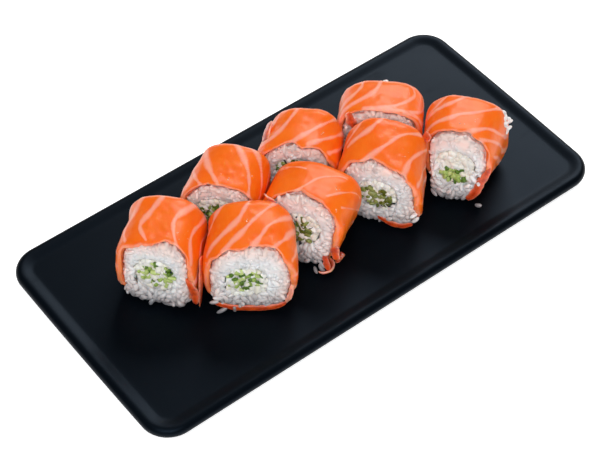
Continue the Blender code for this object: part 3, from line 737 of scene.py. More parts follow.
def riceRows(roll, bearing):
    # rows of a closed ring round the filling's hole: the front cut and its round corner, then back
    # under the salmon, the round back and the back cut; returns points and a name for each row.
    # Ahead of the hem the rice swells out from the salmon's inside towards its outside.
    half, corner = roll["length"] / 2, rice["faceRound"]
    hemX = half - hemBehind(roll, bearing)[None, :]
    top = smoothStep(np.abs(bearing - 90), 75, 45)[None, :]
    below = smoothStep(np.abs((bearing - 270 + 180) % 360 - 180), 60, 35)[None, :]
    bearing = bearing[None, :]

    def outer(x, inset=0.0):
        out = 1.0 - (1.0 - rice["standOut"]) * top - (1.0 - rice["spill"]) * below
        layers = 1.0 - (1.0 - out) * smoothStep(x - hemX, -2.6, 0.6)
        return skinPoints(roll, x, bearing, shared["gap"] + inset, layers)

    def backOuter(angle, layers):
        turn, radius = math.radians(angle), roll["backRound"]
        x = np.full((1, 1), radius * (1 - math.cos(turn)) - half)
        return skinPoints(roll, x, bearing, shared["gap"] + radius * (1 - math.sin(turn)), layers)

    rows, parts = [], []

    def between(start, end, steps, part, bulge=0.0):
        for share in np.arange(steps) / steps:
            row = start + (end - start) * share
            row[..., 0] += bulge * math.sin(math.pi * share)
            rows.append(row[0])
            parts.append(part)

    frontHole = holePoints(roll, np.full((1, 1), half - rice["hollow"]), bearing, rice["coreRound"])
    backHole = holePoints(roll, np.full((1, 1), rice["backHollow"] - half), bearing, rice["coreRound"])
    between(frontHole, outer(np.full((1, 1), half), corner), 10, "front", 0.5)
    for angle in np.radians(np.linspace(0, 90, 6)):
        rows.append(outer(np.full((1, 1), half - corner * (1 - math.cos(angle))), corner * (1 - math.sin(angle)))[0])
        parts.append("front")
    last = np.minimum(hemX - 3.0, half - corner - 1)
    for share in np.arange(1, 8) / 7:
        rows.append(outer(half - corner + (last - half + corner) * share)[0])
        parts.append("front")
    between(outer(last), backOuter(90, 1.0), 5, "side")
    between(backOuter(90, 1.0), backOuter(57, 1.0), 3, "back")
    between(backOuter(57, 1.0), backOuter(24, 0.8), 3, "back")
    between(backOuter(24, 0.8), backHole, 8, "back", -0.5)
    between(backHole, frontHole, 6, "hole")
    return np.array(rows), np.array(parts)


def grainTemplate(around=8, rings=6):
    # a bent ellipsoid: rings of radius sin(turn)^0.8, its middle lifted along the length by a parabola
    turn = np.pi * (np.arange(rings) + 0.5) / rings
    angle = 2 * np.pi * np.arange(around) / around
    length = -np.cos(turn)[:, None] * np.ones(around)
    radius = np.sin(turn)[:, None] ** 0.8
    points = np.stack([length, radius * np.cos(angle), radius * np.sin(angle)], -1).reshape(-1, 3)
    points = np.vstack([points, [(-1.04, 0, 0)], [(1.04, 0, 0)]])
    quads = gridFaces(rings, around)[:, ::-1]
    start = fanFaces(rings * around, 0, around, flip=False)
    end = fanFaces(rings * around + 1, (rings - 1) * around, around, flip=True)
    return points, quads, np.vstack([start, end])


grainPoints, grainQuads, grainTriangles = grainTemplate()


def scatterOn(points, spacing, rng, count, keep=None):
    # picks places evenly over a grid of points: random cells by their area, then each pick that is
    # far enough from those before it; returns places, normals and the two directions in the surface
    p00, p10 = points[:-1], points[1:]
    alongColumns = np.roll(p00, -1, 1) - p00
    alongRows = p10 - p00
    normal = np.cross(alongColumns, alongRows)
    area = np.linalg.norm(normal, axis=-1)
    weight = area if keep is None else area * keep
    chosen = rng.choice(area.size, count, p=(weight / weight.sum()).ravel())
    row, column = np.unravel_index(chosen, area.shape)
    u, v = rng.random(count)[:, None], rng.random(count)[:, None]
    place = p00[row, column] + u * alongColumns[row, column] + v * alongRows[row, column]
    kept = []
    for index in range(count):
        if not kept or np.min(np.sum((place[kept] - place[index]) ** 2, 1)) > spacing ** 2:
            kept.append(index)
    normal = normal[row, column][kept] / area[row, column][kept][:, None]
    across = alongColumns[row, column][kept]
    across = across / np.linalg.norm(across, axis=1, keepdims=True)
    return place[kept], normal, across, np.cross(normal, across)


def layShapes(template, places, lengthwise, upward, sizes, bend=0.0):
    # the template once for each place, its x axis lengthwise and its z axis upward, bent by z += bend x^2
    lengthwise = lengthwise / np.linalg.norm(lengthwise, axis=1, keepdims=True)
    side = np.cross(upward, lengthwise)
    side = side / np.linalg.norm(side, axis=1, keepdims=True)
    upward = np.cross(lengthwise, side)
    local = template[None] * sizes[:, None, :]
    local[..., 2] += np.broadcast_to(bend, (len(places),))[:, None] * (1 - template[None, :, 0] ** 2)
    turned = (local[..., :1] * lengthwise[:, None] + local[..., 1:2] * side[:, None]
              + local[..., 2:] * upward[:, None])
    return places[:, None] + turned


def repeatFaces(faces, count, size):
    return (faces[None] + size * np.arange(count)[:, None, None]).reshape(-1, faces.shape[1])


def makeRice(number, roll, material):
    rng = np.random.default_rng(100 + number)
    bearing = 360 * np.arange(rice["columns"]) / rice["columns"]
    skin, parts = riceRows(roll, bearing)
    normal = surfaceNormals(skin)
    low = smoothStep(skin[..., 2], 26, 8)
    cut = ((parts == "front") | (parts == "back"))[:, None]
    sink = np.where(cut, rice["sinkTop"] + (rice["sinkLow"] - rice["sinkTop"]) * low,
                    np.where(parts == "hole", 0.3, 0.0)[:, None])
    relief = rice["relief"] * (softNoise(skin, 2.1, 7) + 0.5 * softNoise(skin, 1.1, 8))
    inward = -1.0 if np.sum(normal[4, :, 0]) > 0 else 1.0
    core = skin + inward * normal * (sink - relief * cut)[..., None]
    rows = len(skin)
    blush = blushAt(roll, skin)
    faces = gridFaces(rows, rice["columns"], closedRows=True)
    if inward > 0:
        faces = faces[:, ::-1]
    core[..., 2] = np.maximum(core[..., 2], 0.05)
    addPiece(f"riceCore{number}", toPlate(roll, core), [faces], material,
             {"blush": blush.ravel(), "shade": np.full(blush.size, 0.5), "paintedShade": paintedShadeAt(core).ravel()},
             (f"rice_{number}",))

    # grains over both cuts and the round corners between the cut and the salmon
    laid, shades = [], []
    for part, picks in (("front", 5000), ("back", 4200)):
        chosen = parts == part
        grid = skin[chosen]
        place, out, across, along = scatterOn(grid, rice["spacing"], rng, picks)
        if np.sum(out[:, 0]) * (1 if part == "front" else -1) < 0:
            out = -out
        count = len(place)
        angle = rng.uniform(0, np.pi, count)[:, None]
        lengthwise = np.cos(angle) * across + np.sin(angle) * along
        upended = rng.random(count) < (rice["upended"] if part == "front" else 0)
        steep = np.where(upended, rng.uniform(0.5, 1.1, count), rng.normal(0, 0.22, count))[:, None]
        lengthwise = lengthwise + steep * out
        size = np.stack([rng.normal(rice["grainLength"], 0.45, count), rng.normal(rice["grainWidth"], 0.2, count),
                         rng.normal(rice["grainWidth"] * 0.88, 0.16, count)], -1) / 2
        low = smoothStep(place[:, 2], 26, 8)
        sunk = rice["sunkTop"] + (rice["sunkLow"] - rice["sunkTop"]) * low + rng.uniform(-0.3, 0.3, count)
        place = place - out * sunk[:, None]
        grains = layShapes(grainPoints, place, lengthwise, out, size, rng.uniform(0.0, 0.5, count))
        grains[..., 2] = np.maximum(grains[..., 2], 0.0)
        laid.append(grains)
        shades.append(rng.random(count))
    grains, shade = np.concatenate(laid), np.concatenate(shades)
    count, size = len(grains), len(grainPoints)
    blush = blushAt(roll, grains)
    faces = [repeatFaces(grainQuads, count, size), repeatFaces(grainTriangles, count, size)]
    addPiece(f"riceGrains{number}", toPlate(roll, grains), faces, material,
             {"blush": blush.ravel(), "shade": np.repeat(shade, size), "paintedShade": paintedShadeAt(grains).ravel()})
    print("rice", number, count, "grains")


def blushAt(roll, points):
    # how near a point is to the salmon: 1 under it, 0 a few millimetres inside the skin
    share = points[..., 0] / roll["length"] + 0.5
    halfY = roll["width"] / 2 * (roll["backWidth"] * (1 - share) + share)
    y = points[..., 1] - roll["skew"] * (points[..., 2] - roll["height"] / 2)
    z = points[..., 2] - roll["height"] / 2
    depth = 1 - ((np.abs(y) / halfY) ** 3 + (np.abs(z) / (roll["height"] / 2)) ** 3) ** (1 / 3)
    low = smoothStep(points[..., 2], 14, 3)
    return np.clip(smoothStep(depth, 0.5, 0.12) * (1 - 0.75 * low), 0, 1)


def paintedShadeAt(points):
    # painted shade: the rice is painted darker and greyer near the plate, where the light falls off: 1 at the foot,
    # 0 above a few millimetres
    return smoothStep(points[..., 2], 13, 0)


def ricePaint():
    paint = Paint("riceGrain")
    place = paint.node("ShaderNodeTexCoord", {}, {}, "Object")
    blush, shade = paint.attribute("blush"), paint.attribute("shade")
    cloud = paint.noise(place, 300.0, 3.0, 0.55)
    fine = paint.noise(place, 1500.0, 2.0, 0.5)
    colour = paint.mix((0.84, 0.80, 0.79), (0.92, 0.88, 0.86), shade)
    colour = paint.mix(colour, (0.96, 0.66, 0.58), blush * (0.45 + cloud * 0.8))
    # painted shade: the rice darkens to grey-blue towards the plate
    colour = paint.mix(colour, (0.11, 0.12, 0.14), paint.attribute("paintedShade") * 0.8)
    rough = 0.34 + cloud * 0.2
    normal = paint.bump(fine * 0.4 + cloud * 0.6, 0.0002, 0.5)
    return paint.finish(Base_Color=colour, Roughness=rough, Normal=normal, Subsurface_Weight=0.5,
                        Subsurface_Radius=(1.0, 0.75, 0.65), Subsurface_Scale=0.0022,
                        Specular_IOR_Level=0.4)


riceCooked = ricePaint()
for number, roll in rolls.items():
    makeRice(number, roll, riceCooked)
print("rice heaped")


# the fillings

filling = {
    "cheeseBack": 1.1, "crumbs": 34, "crumbSize": 2.7, "stickHalf": 1.3, "stickSpacing": 2.6,
    "chips": 26, "chipSize": 1.9, "flakes": 4, "flakeSize": 1.6,
}


def blockTemplate(around=8, rings=6, power=0.55):
    # a squared ball: the signed powers of sine and cosine push it out towards a box
    turn = np.pi * (np.arange(rings) + 0.5) / rings
    angle = 2 * np.pi * (np.arange(around) + 0.5) / around

    def pushed(value):
        return np.sign(value) * np.abs(value) ** power

    x = -pushed(np.cos(turn))[:, None] * np.ones(around)
    radius = pushed(np.sin(turn))[:, None]
    points = np.stack([x, radius * pushed(np.cos(angle)), radius * pushed(np.sin(angle))], -1).reshape(-1, 3)
    points = np.vstack([points, [(-1, 0, 0)], [(1, 0, 0)]])
    ends = [fanFaces(rings * around, 0, around),
            fanFaces(rings * around + 1, (rings - 1) * around, around, flip=True)]
    return points, gridFaces(rings, around)[:, ::-1], np.vstack(ends)


blockPoints, blockQuads, blockTriangles = blockTemplate()


def inGreen(roll, y, z, slack=0.0):
    # below 1 inside the roll's green part, measured across the hole from its middle
    centreY, centreZ, radiusY, radiusZ, _ = roll["green"]
    return ((y - centreY) / (radiusY + slack)) ** 2 + ((z - centreZ) / (radiusZ + slack)) ** 2


def inHole(y, z, edge=0.0):
    halfY, halfZ = shared["coreWidth"] / 2 - edge, shared["coreHeight"] / 2 - edge
    return np.abs(y / halfY) ** shared["corePower"] + np.abs(z / halfZ) ** shared["corePower"]


def holeSpots(rng, count, spacing, edge, wanted):
    # random places over the hole, a few kept: those wanted and far enough from the ones before
    y = rng.uniform(-0.5, 0.5, 4000) * shared["coreWidth"]
    z = rng.uniform(-0.5, 0.5, 4000) * shared["coreHeight"]
    good = (inHole(y, z, edge) < 1) & wanted(y, z)
    spots = np.stack([y, z], -1)[good]
    kept = []
    for spot in spots:
        if len(kept) < count and (not kept or np.min(np.sum((np.array(kept) - spot) ** 2, 1)) > spacing ** 2):
            kept.append(spot)
    return np.array(kept).reshape(-1, 2)


def inRoll(roll, x, spots):
    offY, offZ = roll["core"]
    return leant(roll, x, spots[..., 0] + offY, spots[..., 1] + roll["height"] / 2 + offZ)


def unitVectors(rng, count):
    vectors = rng.normal(size=(count, 3))
    return vectors / np.linalg.norm(vectors, axis=1, keepdims=True)


def makeCheese(number, roll, material):
    # a soft lumpy plug through the hole, domed at both ends, with crumbs pressed on each cut
    rng = np.random.default_rng(200 + number)
    half = roll["length"] / 2
    bearing = 360 * np.arange(64) / 64
    grow = np.array([-7.5, -5.5, -3.5, -1.8, -0.7, -0.15])
    ends = half - filling["cheeseBack"] - 0.5 * (np.array([0, 0.02, 0.12, 0.4, 1.0, 2.4]))
    x = np.concatenate([-ends, np.linspace(-ends[-1], ends[-1], 10)[1:-1], ends[::-1]])
    grow = np.concatenate([grow, np.full(8, -0.15), grow[::-1]])
    body = holePoints(roll, x[:, None], bearing[None, :], grow[:, None])
    rough = 0.8 * softNoise(body, 2.4, 21) + 0.4 * softNoise(body, 1.1, 22)
    facing = np.clip((np.abs(x) - half + 6) / 4, 0, 1)[:, None] * np.sign(x)[:, None]
    body[..., 0] += rough * facing
    poles = inRoll(roll, np.array([-ends[0], ends[0]]), np.zeros((2, 2)))
    count, around = len(x), len(bearing)
    points = [np.concatenate([body.reshape(-1, 3), poles])]
    quads, triangles = [gridFaces(count, around)[:, ::-1]], [
        fanFaces(count * around, 0, around), fanFaces(count * around + 1, (count - 1) * around, around, flip=True)]
    tint = [np.full(len(points[0]), 0.5)]
    start = len(points[0])
    for side in (-1, 1):
        spots = holeSpots(rng, filling["crumbs"], 1.75, 0.6,
                          lambda y, z: (inGreen(roll, y, z) > 0.9) | (rng.random(len(y)) < 0.12))
        size = filling["crumbSize"] * rng.uniform(0.55, 1.15, (len(spots), 3)) * (0.8, 0.75, 0.55)
        place = inRoll(roll, side * (half - rng.uniform(1.2, 1.9, len(spots))), spots)
        out = np.tile([side, 0.0, 0.0], (len(spots), 1)) + 0.35 * unitVectors(rng, len(spots))
        crumbs = layShapes(softBlock, place, unitVectors(rng, len(spots)) * (0.3, 1, 1), out, size)
        crumbs += 0.28 * softNoise(crumbs, 1.3, 23)[..., None] * (crumbs - place[:, None])
        quads.append(repeatFaces(softQuads, len(spots), len(softBlock)) + start)
        triangles.append(repeatFaces(softTriangles, len(spots), len(softBlock)) + start)
        points.append(crumbs.reshape(-1, 3))
        tint.append(np.repeat(rng.random(len(spots)), len(softBlock)))
        start += len(points[-1])
    addPiece(f"cheeseCrumbs{number}", toPlate(roll, np.concatenate(points)),
             [np.concatenate(quads), np.concatenate(triangles)], material,
             {"tint": np.concatenate(tint)}, (f"cheese_{number}",))


softBlock, softQuads, softTriangles = blockTemplate(10, 7, 0.85)


def makeCucumber(number, roll, material):
    # sticks cut square run the length of the roll; chips lie on both cuts among the cheese
    rng = np.random.default_rng(300 + number)
    half = roll["length"] / 2
    spots = holeSpots(rng, 18, filling["stickSpacing"], 1.3, lambda y, z: inGreen(roll, y, z) < 0.95)
    count = len(spots)
    ends = half - rng.uniform(0.7, 2.0, (count, 2))
    steps = np.array([0, 0.01, 0.03, 0.3, 0.7, 0.97, 0.99, 1.0])
    wide = np.array([0.86, 0.97, 1.0, 1.0, 1.0, 1.0, 0.97, 0.86])
    angle = 2 * np.pi * (np.arange(12) + 0.5) / 12
    square = np.stack([np.sign(np.cos(angle)) * np.abs(np.cos(angle)) ** 0.6,
                       np.sign(np.sin(angle)) * np.abs(np.sin(angle)) ** 0.6], -1)
    x = -ends[:, :1] + (ends[:, :1] + ends[:, 1:]) * steps
    turn = rng.uniform(0, np.pi, count)
    across = filling["stickHalf"] * rng.uniform(0.75, 1.15, (count, 2))
    shape = square[None] * across[:, None]
    turned = np.stack([shape[..., 0] * np.cos(turn)[:, None] - shape[..., 1] * np.sin(turn)[:, None],
                       shape[..., 0] * np.sin(turn)[:, None] + shape[..., 1] * np.cos(turn)[:, None]], -1)
    bow = rng.uniform(-0.8, 0.8, (count, 2))
    path = spots[:, None] + bow[:, None] * np.sin(np.pi * steps)[None, :, None]
    flat = path[:, :, None] + turned[:, None] * wide[None, :, None, None]
    body = inRoll(roll, np.broadcast_to(x[:, :, None], flat.shape[:3]), flat)
    outermost = np.abs(turned[..., 0] - turned[..., 0].max(1, keepdims=True)) < 0.35
    peel = outermost & (rng.random(count) < 0.5)[:, None]
    peels = np.broadcast_to(peel[:, None].astype(float), body.shape[:3])
    size = len(steps) * 12
    poles = np.stack([body[:, 0].mean(1), body[:, -1].mean(1)], 1)
    points = [np.concatenate([body.reshape(count, size, 3), poles], 1).reshape(-1, 3)]
    ends = np.vstack([fanFaces(size, 0, 12), fanFaces(size + 1, size - 12, 12, flip=True)])
    quads = [repeatFaces(gridFaces(len(steps), 12)[:, ::-1], count, size + 2)]
    triangles = [repeatFaces(ends, count, size + 2)]
    values = {"peel": [np.concatenate([peels.reshape(count, size), np.zeros((count, 2))], 1).ravel()],
              "tint": [np.repeat(rng.random(count), size + 2)]}
    start = len(points[0])
    for side in (-1, 1):
        share = roll["green"][4]
        spots = holeSpots(rng, filling["chips"], 1.35, 0.8,
                          lambda y, z: (inGreen(roll, y, z, 1.2) < 1) & (rng.random(len(y)) < share))
        out = np.tile([side, 0.0, 0.0], (len(spots), 1)) + 0.5 * unitVectors(rng, len(spots))
        size = filling["chipSize"] * rng.uniform(0.5, 1.1, (len(spots), 3)) * (1.0, 0.75, 0.5)
        place = inRoll(roll, side * (half - rng.uniform(0.3, 1.2, len(spots))), spots)
        chips = layShapes(blockPoints, place, unitVectors(rng, len(spots)) * (0.35, 1, 1), out, size)
        quads.append(repeatFaces(blockQuads, len(spots), len(blockPoints)) + start)
        triangles.append(repeatFaces(blockTriangles, len(spots), len(blockPoints)) + start)
        points.append(chips.reshape(-1, 3))
        values["peel"].append(np.repeat(np.where(rng.random(len(spots)) < 0.4, 1.0, 0.0), len(blockPoints)))
        values["tint"].append(np.repeat(rng.random(len(spots)), len(blockPoints)))
        start += len(points[-1])
    values = {key: np.concatenate(value) for key, value in values.items()}
    # how far the roll's cucumber is darkened to olive: partly its yellowish tint, partly painted shade
    values["oliveAndShade"] = np.full(start, roll["oliveAndShade"])
    addPiece(f"cucumberSticks{number}", toPlate(roll, np.concatenate(points)),
             [np.concatenate(quads), np.concatenate(triangles)], material, values,
             (f"cucumber_{number}",))


def makeFlakes(material):
    # torn flakes of dried seaweed, flat squared balls stood on edge among the fillings
    rng = np.random.default_rng(400)
    points = []
    for roll in rolls.values():
        for side in (-1, 1):
            spots = holeSpots(rng, filling["flakes"], 3.0, 0.4, lambda y, z: inHole(y, z) > 0.25)
            if side == 1 and roll["flakes"]:
                spots = np.array(roll["flakes"], float)
            out = unitVectors(rng, len(spots)) * (0.4, 1, 1)
            size = filling["flakeSize"] * rng.uniform(0.6, 1.1, (len(spots), 3)) * (1.0, 0.6, 0.1)
            place = inRoll(roll, side * (roll["length"] / 2 - rng.uniform(0.3, 1.0, len(spots))), spots)
            lengthwise = unitVectors(rng, len(spots)) * (0.5, 1, 1)
            flakes = layShapes(blockPoints, place, lengthwise, out, size, 0.3)
            points.append(toPlate(roll, flakes).reshape(-1, 3))
    points = np.concatenate(points)
    count = len(points) // len(blockPoints)
    addPiece("noriFlakes", points, [repeatFaces(blockQuads, count, len(blockPoints)),
                                    repeatFaces(blockTriangles, count, len(blockPoints))], material)


def cheesePaint():
    paint = Paint("freshCheese")
    place = paint.node("ShaderNodeTexCoord", {}, {}, "Object")
    tint = paint.attribute("tint")
    cloud = paint.noise(place, 260.0, 4.0, 0.6)
    fine = paint.noise(place, 1300.0, 2.0, 0.6)
    colour = paint.mix((0.80, 0.75, 0.64), (0.90, 0.88, 0.82), tint)
    colour = paint.mix(colour, (0.70, 0.62, 0.46), cloud.ramp(0.55, 0.85) * 0.6)
    normal = paint.bump(fine * 0.5 + cloud * 0.7, 0.0003, 0.6)
    return paint.finish(Base_Color=colour, Roughness=0.42 + cloud * 0.2, Normal=normal, Subsurface_Weight=0.3,
                        Subsurface_Radius=(1.0, 0.8, 0.55), Subsurface_Scale=0.0012, Specular_IOR_Level=0.4)


def cucumberPaint():
    paint = Paint("cucumberFlesh")
    place = paint.node("ShaderNodeTexCoord", {}, {}, "Object")
    tint, peel, oliveAndShade = paint.attribute("tint"), paint.attribute("peel"), paint.attribute("oliveAndShade")
    cloud = paint.noise(place, 330.0, 3.0, 0.6)
    flesh = paint.mix((0.26, 0.38, 0.06), (0.56, 0.66, 0.24), tint)
    skin = paint.mix((0.03, 0.08, 0.004), (0.14, 0.27, 0.015), cloud)
    colour = paint.mix(flesh, skin, peel)
    # partly a yellowish olive tint and partly painted shade: the cucumber of some rolls is darkened to brown-olive
    colour = paint.mix(colour, (0.11, 0.085, 0.008), oliveAndShade * (0.5 + cloud * 0.5))
    normal = paint.bump(cloud, 0.0003, 0.5)
    return paint.finish(Base_Color=colour, Roughness=0.22 + cloud * 0.2, Normal=normal, Subsurface_Weight=0.25,
                        Subsurface_Radius=(0.6, 1.0, 0.3), Subsurface_Scale=0.001)


def noriPaint():
    paint = Paint("noriDark")
    place = paint.node("ShaderNodeTexCoord", {}, {}, "Object")
    cloud = paint.noise(place, 700.0, 3.0, 0.6)
    colour = paint.mix((0.003, 0.008, 0.014), (0.012, 0.028, 0.036), cloud)
    return paint.finish(Base_Color=colour, Roughness=0.35 + cloud * 0.2, Normal=paint.bump(cloud, 0.0002, 0.6))


cheese, cucumber = cheesePaint(), cucumberPaint()
for number, roll in rolls.items():
    makeCheese(number, roll, cheese)
    makeCucumber(number, roll, cucumber)
makeFlakes(noriPaint())
print("fillings laid")


# strips of salmon that have come loose, each a path of (ahead of the cut, y, z) on its roll in mm
scraps = {"sides": 14, "steps": 26, "torn": 0.22, "tornSize": 1.7}
shreds = (
    {"roll": 1, "path": ((0.3, 15.5, 22), (1.0, 17.2, 17.5), (0.6, 18.6, 13), (0.2, 18.9, 6)), "width": 4.6,
     "thickness": 1.0, "pale": 0.3},
    {"roll": 1, "path": ((-9, 20.0, 27), (-5, 20.6, 20), (-3, 20.6, 12), (-2, 20.4, 3)), "width": 8.0,
     "thickness": 1.3, "pale": 0.15},
    {"roll": 2, "path": ((0.6, -17, 5.5), (1.2, -8, 3.0), (1.3, 2, 2.4), (1.2, 11, 3.0), (0.6, 17, 5.5)),
     "width": 3.4, "thickness": 1.4, "pale": 0.1},
    {"roll": 2, "path": ((0.5, 19.2, 17), (1.2, 18.4, 11), (0.9, 16.6, 5.5)), "width": 2.4, "thickness": 1.3,
     "pale": 1.0},
    {"roll": 4, "path": ((0.6, -19.5, 35.5), (1.8, -16.5, 35), (1.2, -13, 33)), "width": 2.4, "thickness": 1.1,
     "pale": 0.9},
    {"roll": 4, "path": ((-1, 18.3, 17), (0.5, 20, 13.5), (0.8, 21.5, 9)), "width": 4.6, "thickness": 1.2,
     "pale": 0.4},
    {"roll": 4, "path": ((0.2, 15.5, 9.5), (1.2, 17.5, 6), (1.5, 19.5, 2.5)), "width": 3.2, "thickness": 1.1,
     "pale": 0.2},
    {"roll": 5, "path": ((-20, -17, 31.5), (-12, -17, 31.5), (-5, -16, 31)), "width": 5.5, "thickness": 1.8,
     "pale": 0.5},
    {"roll": 6, "path": ((0.8, 0, 5.5), (1.3, 6, 3), (1.2, 12, 2.6), (0.8, 17, 5)), "width": 3.2,
     "thickness": 1.2, "pale": 0.2},
    {"roll": 7, "path": ((-1.5, -15.5, 34), (0.5, -14, 31), (0.9, -11.5, 26)), "width": 5.0, "thickness": 1.6,
     "pale": 0.6},
    {"roll": 8, "path": ((-8, -16.8, 31), (-3, -16.3, 33), (0.8, -13.5, 34)), "width": 4.5, "thickness": 1.6,
     "pale": 0.2},
    {"roll": 8, "path": ((0.5, 5.5, 3.5), (1.2, 9, 8), (1.0, 12, 15), (0.4, 16, 25)), "width": 4.0,
     "thickness": 1.3, "pale": 0.2},
)


def smoothTo(path, steps):
    # the smooth curve through a path, at so many even steps
    curve = smoothCurve(path)
    share = np.linspace(0, 1, steps)
    return np.stack([np.interp(share, np.linspace(0, 1, len(curve)), curve[:, axis]) for axis in range(3)], -1)


def makeRibbon(path, across, width, thickness, seed):
    # a flat strip: a squared ellipse at each step of the path, narrowing to both ends by sin^0.35;
    # returns its points, faces and how near each point is to the strip's thin edges
    steps, sides = scraps["steps"], scraps["sides"]
    along = np.gradient(path, axis=0)
    along /= np.linalg.norm(along, axis=1, keepdims=True)
    across = across - along * np.sum(across * along, axis=1, keepdims=True)
    across /= np.linalg.norm(across, axis=1, keepdims=True)
    up = np.cross(along, across)
    angle = 2 * np.pi * (np.arange(sides) + 0.5) / sides
    wide = np.sign(np.cos(angle)) * np.abs(np.cos(angle)) ** 0.7
    high = np.sign(np.sin(angle)) * np.abs(np.sin(angle)) ** 0.9
    share = np.linspace(0, 1, steps)[:, None]
    taper = 0.12 + 0.88 * np.abs(np.sin(np.pi * share)) ** 0.35
    reach = wide * width / 2 * taper
    edge = path[:, None] + across[:, None] * reach[..., None]
    reach = reach * (1 + scraps["torn"] * softNoise(edge, scraps["tornSize"], seed))
    lift = high * thickness / 2 * taper + 0.2 * softNoise(edge, 1.5, seed + 1)
    ring = path[:, None] + across[:, None] * reach[..., None] + up[:, None] * lift[..., None]
    points = np.concatenate([ring.reshape(-1, 3), ring[[0, -1]].mean(1)])
    count = steps * sides
    triangles = np.vstack([fanFaces(count, 0, sides, flip=True), fanFaces(count + 1, count - sides, sides)])
    rim = np.concatenate([np.broadcast_to(np.abs(wide) ** 3, (steps, sides)).ravel(), [1, 1]])
    return points, gridFaces(steps, sides), triangles, rim


def scrapPaint():
    paint = Paint("salmonScrap")
    place = paint.node("ShaderNodeTexCoord", {}, {}, "Object")
    cloud = paint.noise(place, 320.0, 3.0, 0.6)
    fine = paint.noise(place, 1100.0, 3.0, 0.6)
    # painted shade: the scraps' deep red base, darker than the wrap's meat, stands for salmon in the shade between
    # and under the rolls
    colour = paint.mix((0.42, 0.026, 0.001), (0.82, 0.095, 0.003), cloud.ramp(0.3, 0.7))
    colour = paint.mix(colour, (1.0, 0.46, 0.32), paint.attribute("pale") * (0.45 + cloud * 0.9))
    rough = 0.22 + fine * 0.16
    normal = paint.bump(cloud * 0.7 + fine * 0.3, 0.0003, 0.6)
    return paint.finish(Base_Color=colour, Roughness=rough, Normal=normal, Subsurface_Weight=0.5,
                        Subsurface_Radius=(1.0, 0.25, 0.05), Subsurface_Scale=0.002,
                        Specular_IOR_Level=0.35, Coat_Weight=0.3, Coat_Roughness=0.1)


def settled(points, node):
    # moved so that the middle and the foot of its box are those of the node's box
    low, high = (np.array(end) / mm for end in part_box(node))
    offset = (low + high) / 2 - (points.min(0) + points.max(0)) / 2
    offset[2] = low[2] - points[:, 2].min()
    return (points + offset) * mm


curl = {
    "radius": 4.2, "height": 3.9, "tipHeight": 2.9, "thickness": 1.5, "lean": 0.85,
    "start": 40, "end": -165,  # degrees, from its tucked end round to its tip
}
flap = {
    "path": ((0, 0, 0.6), (2.4, 0.5, 1.1), (5.2, 0.7, 3.6)), "across": (0, 1, 0.68),
    "tipWidth": 1.2, "width": 4.4, "thickness": 1.3,
}


def makeScraps(material):
    # the curl is a strip stood on its edge round an arc, the flap a strip that widens as it rises
    steps = scraps["steps"]
    turn = np.radians(np.linspace(curl["start"], curl["end"], steps))
    path = np.stack([curl["radius"] * np.cos(turn), curl["radius"] * np.sin(turn), turn * 0], -1)
    upright = np.stack([curl["lean"] * np.cos(turn), curl["lean"] * np.sin(turn), turn * 0 + 1], -1)
    width = np.linspace(curl["height"], curl["tipHeight"], steps)[:, None]
    points, quads, triangles, rim = makeRibbon(path, upright, width, curl["thickness"], 61)
    addPiece("salmonCurl", settled(points, "salmon_curl"), [quads, triangles], material,
             {"pale": rim * (points[:, 2] > 0)}, ("salmon_curl",))
    width = np.linspace(flap["tipWidth"], flap["width"], steps)[:, None]
    across = np.tile(np.array(flap["across"], float), (steps, 1))
    points, quads, triangles, rim = makeRibbon(smoothTo(flap["path"], steps), across, width, flap["thickness"], 63)
    addPiece("salmonFlap", settled(points, "salmon_flap"), [quads, triangles], material,
             {"pale": rim * 0.7}, ("salmon_flap",))

    # the shreds: one on a cut has its width away from the roll's middle, the others lie along the skin
    parts, pale, start = ([], [], []), [], 0
    for index, shred in enumerate(shreds):
        roll = rolls[shred["roll"]]
        ahead, y, z = np.array(shred["path"], float).T
        path = smoothTo(leant(roll, roll["length"] / 2 + ahead, y, z), steps)
        outward = (path - (roll["length"] / 2 - 6, 0, roll["height"] / 2)) * (0.25, 1, 1)
        across = outward if np.ptp(ahead) < 3 else np.cross(np.gradient(path, axis=0), outward)
        points, quads, triangles, rim = makeRibbon(path, across, shred["width"], shred["thickness"], 70 + index)
        points[:, 2] = np.maximum(points[:, 2], 0.1)
        for part, added in zip(parts, (toPlate(roll, points), quads + start, triangles + start)):
            part.append(added)
        pale.append(np.clip(rim * (0.3 + shred["pale"]) + shred["pale"] ** 6 * 0.6, 0, 1))
        start += len(points)
    points, quads, triangles = (np.concatenate(part) for part in parts)
    addPiece("salmonShreds", points, [quads, triangles], material, {"pale": np.concatenate(pale)})


makeScraps(scrapPaint())


# grains that hang from the foot of each cut or lie loose: some by (ahead of the cut, y, z) on their roll
loose = {
    "hanging": 6, "ahead": (0.0, 1.1), "high": (1.2, 6.5), "spread": 0.4,
    "placed": {2: ((0.8, -14.2, 8.5), (1.8, -12.4, 1.4), (1.2, -2.8, 5)), 4: ((1.5, 8.5, 4.2), (2.6, 13.7, 1.4)),
               6: ((0.2, 17.4, 11), (0.4, 18.2, 8)), 8: ((0.6, 10.9, 15), (0.6, 5.8, 11.7), (1.0, -3.1, 6.3))},
    "patch": {"roll": 8, "grains": 9, "behind": (25, 31), "bearing": (14, 36)},
}


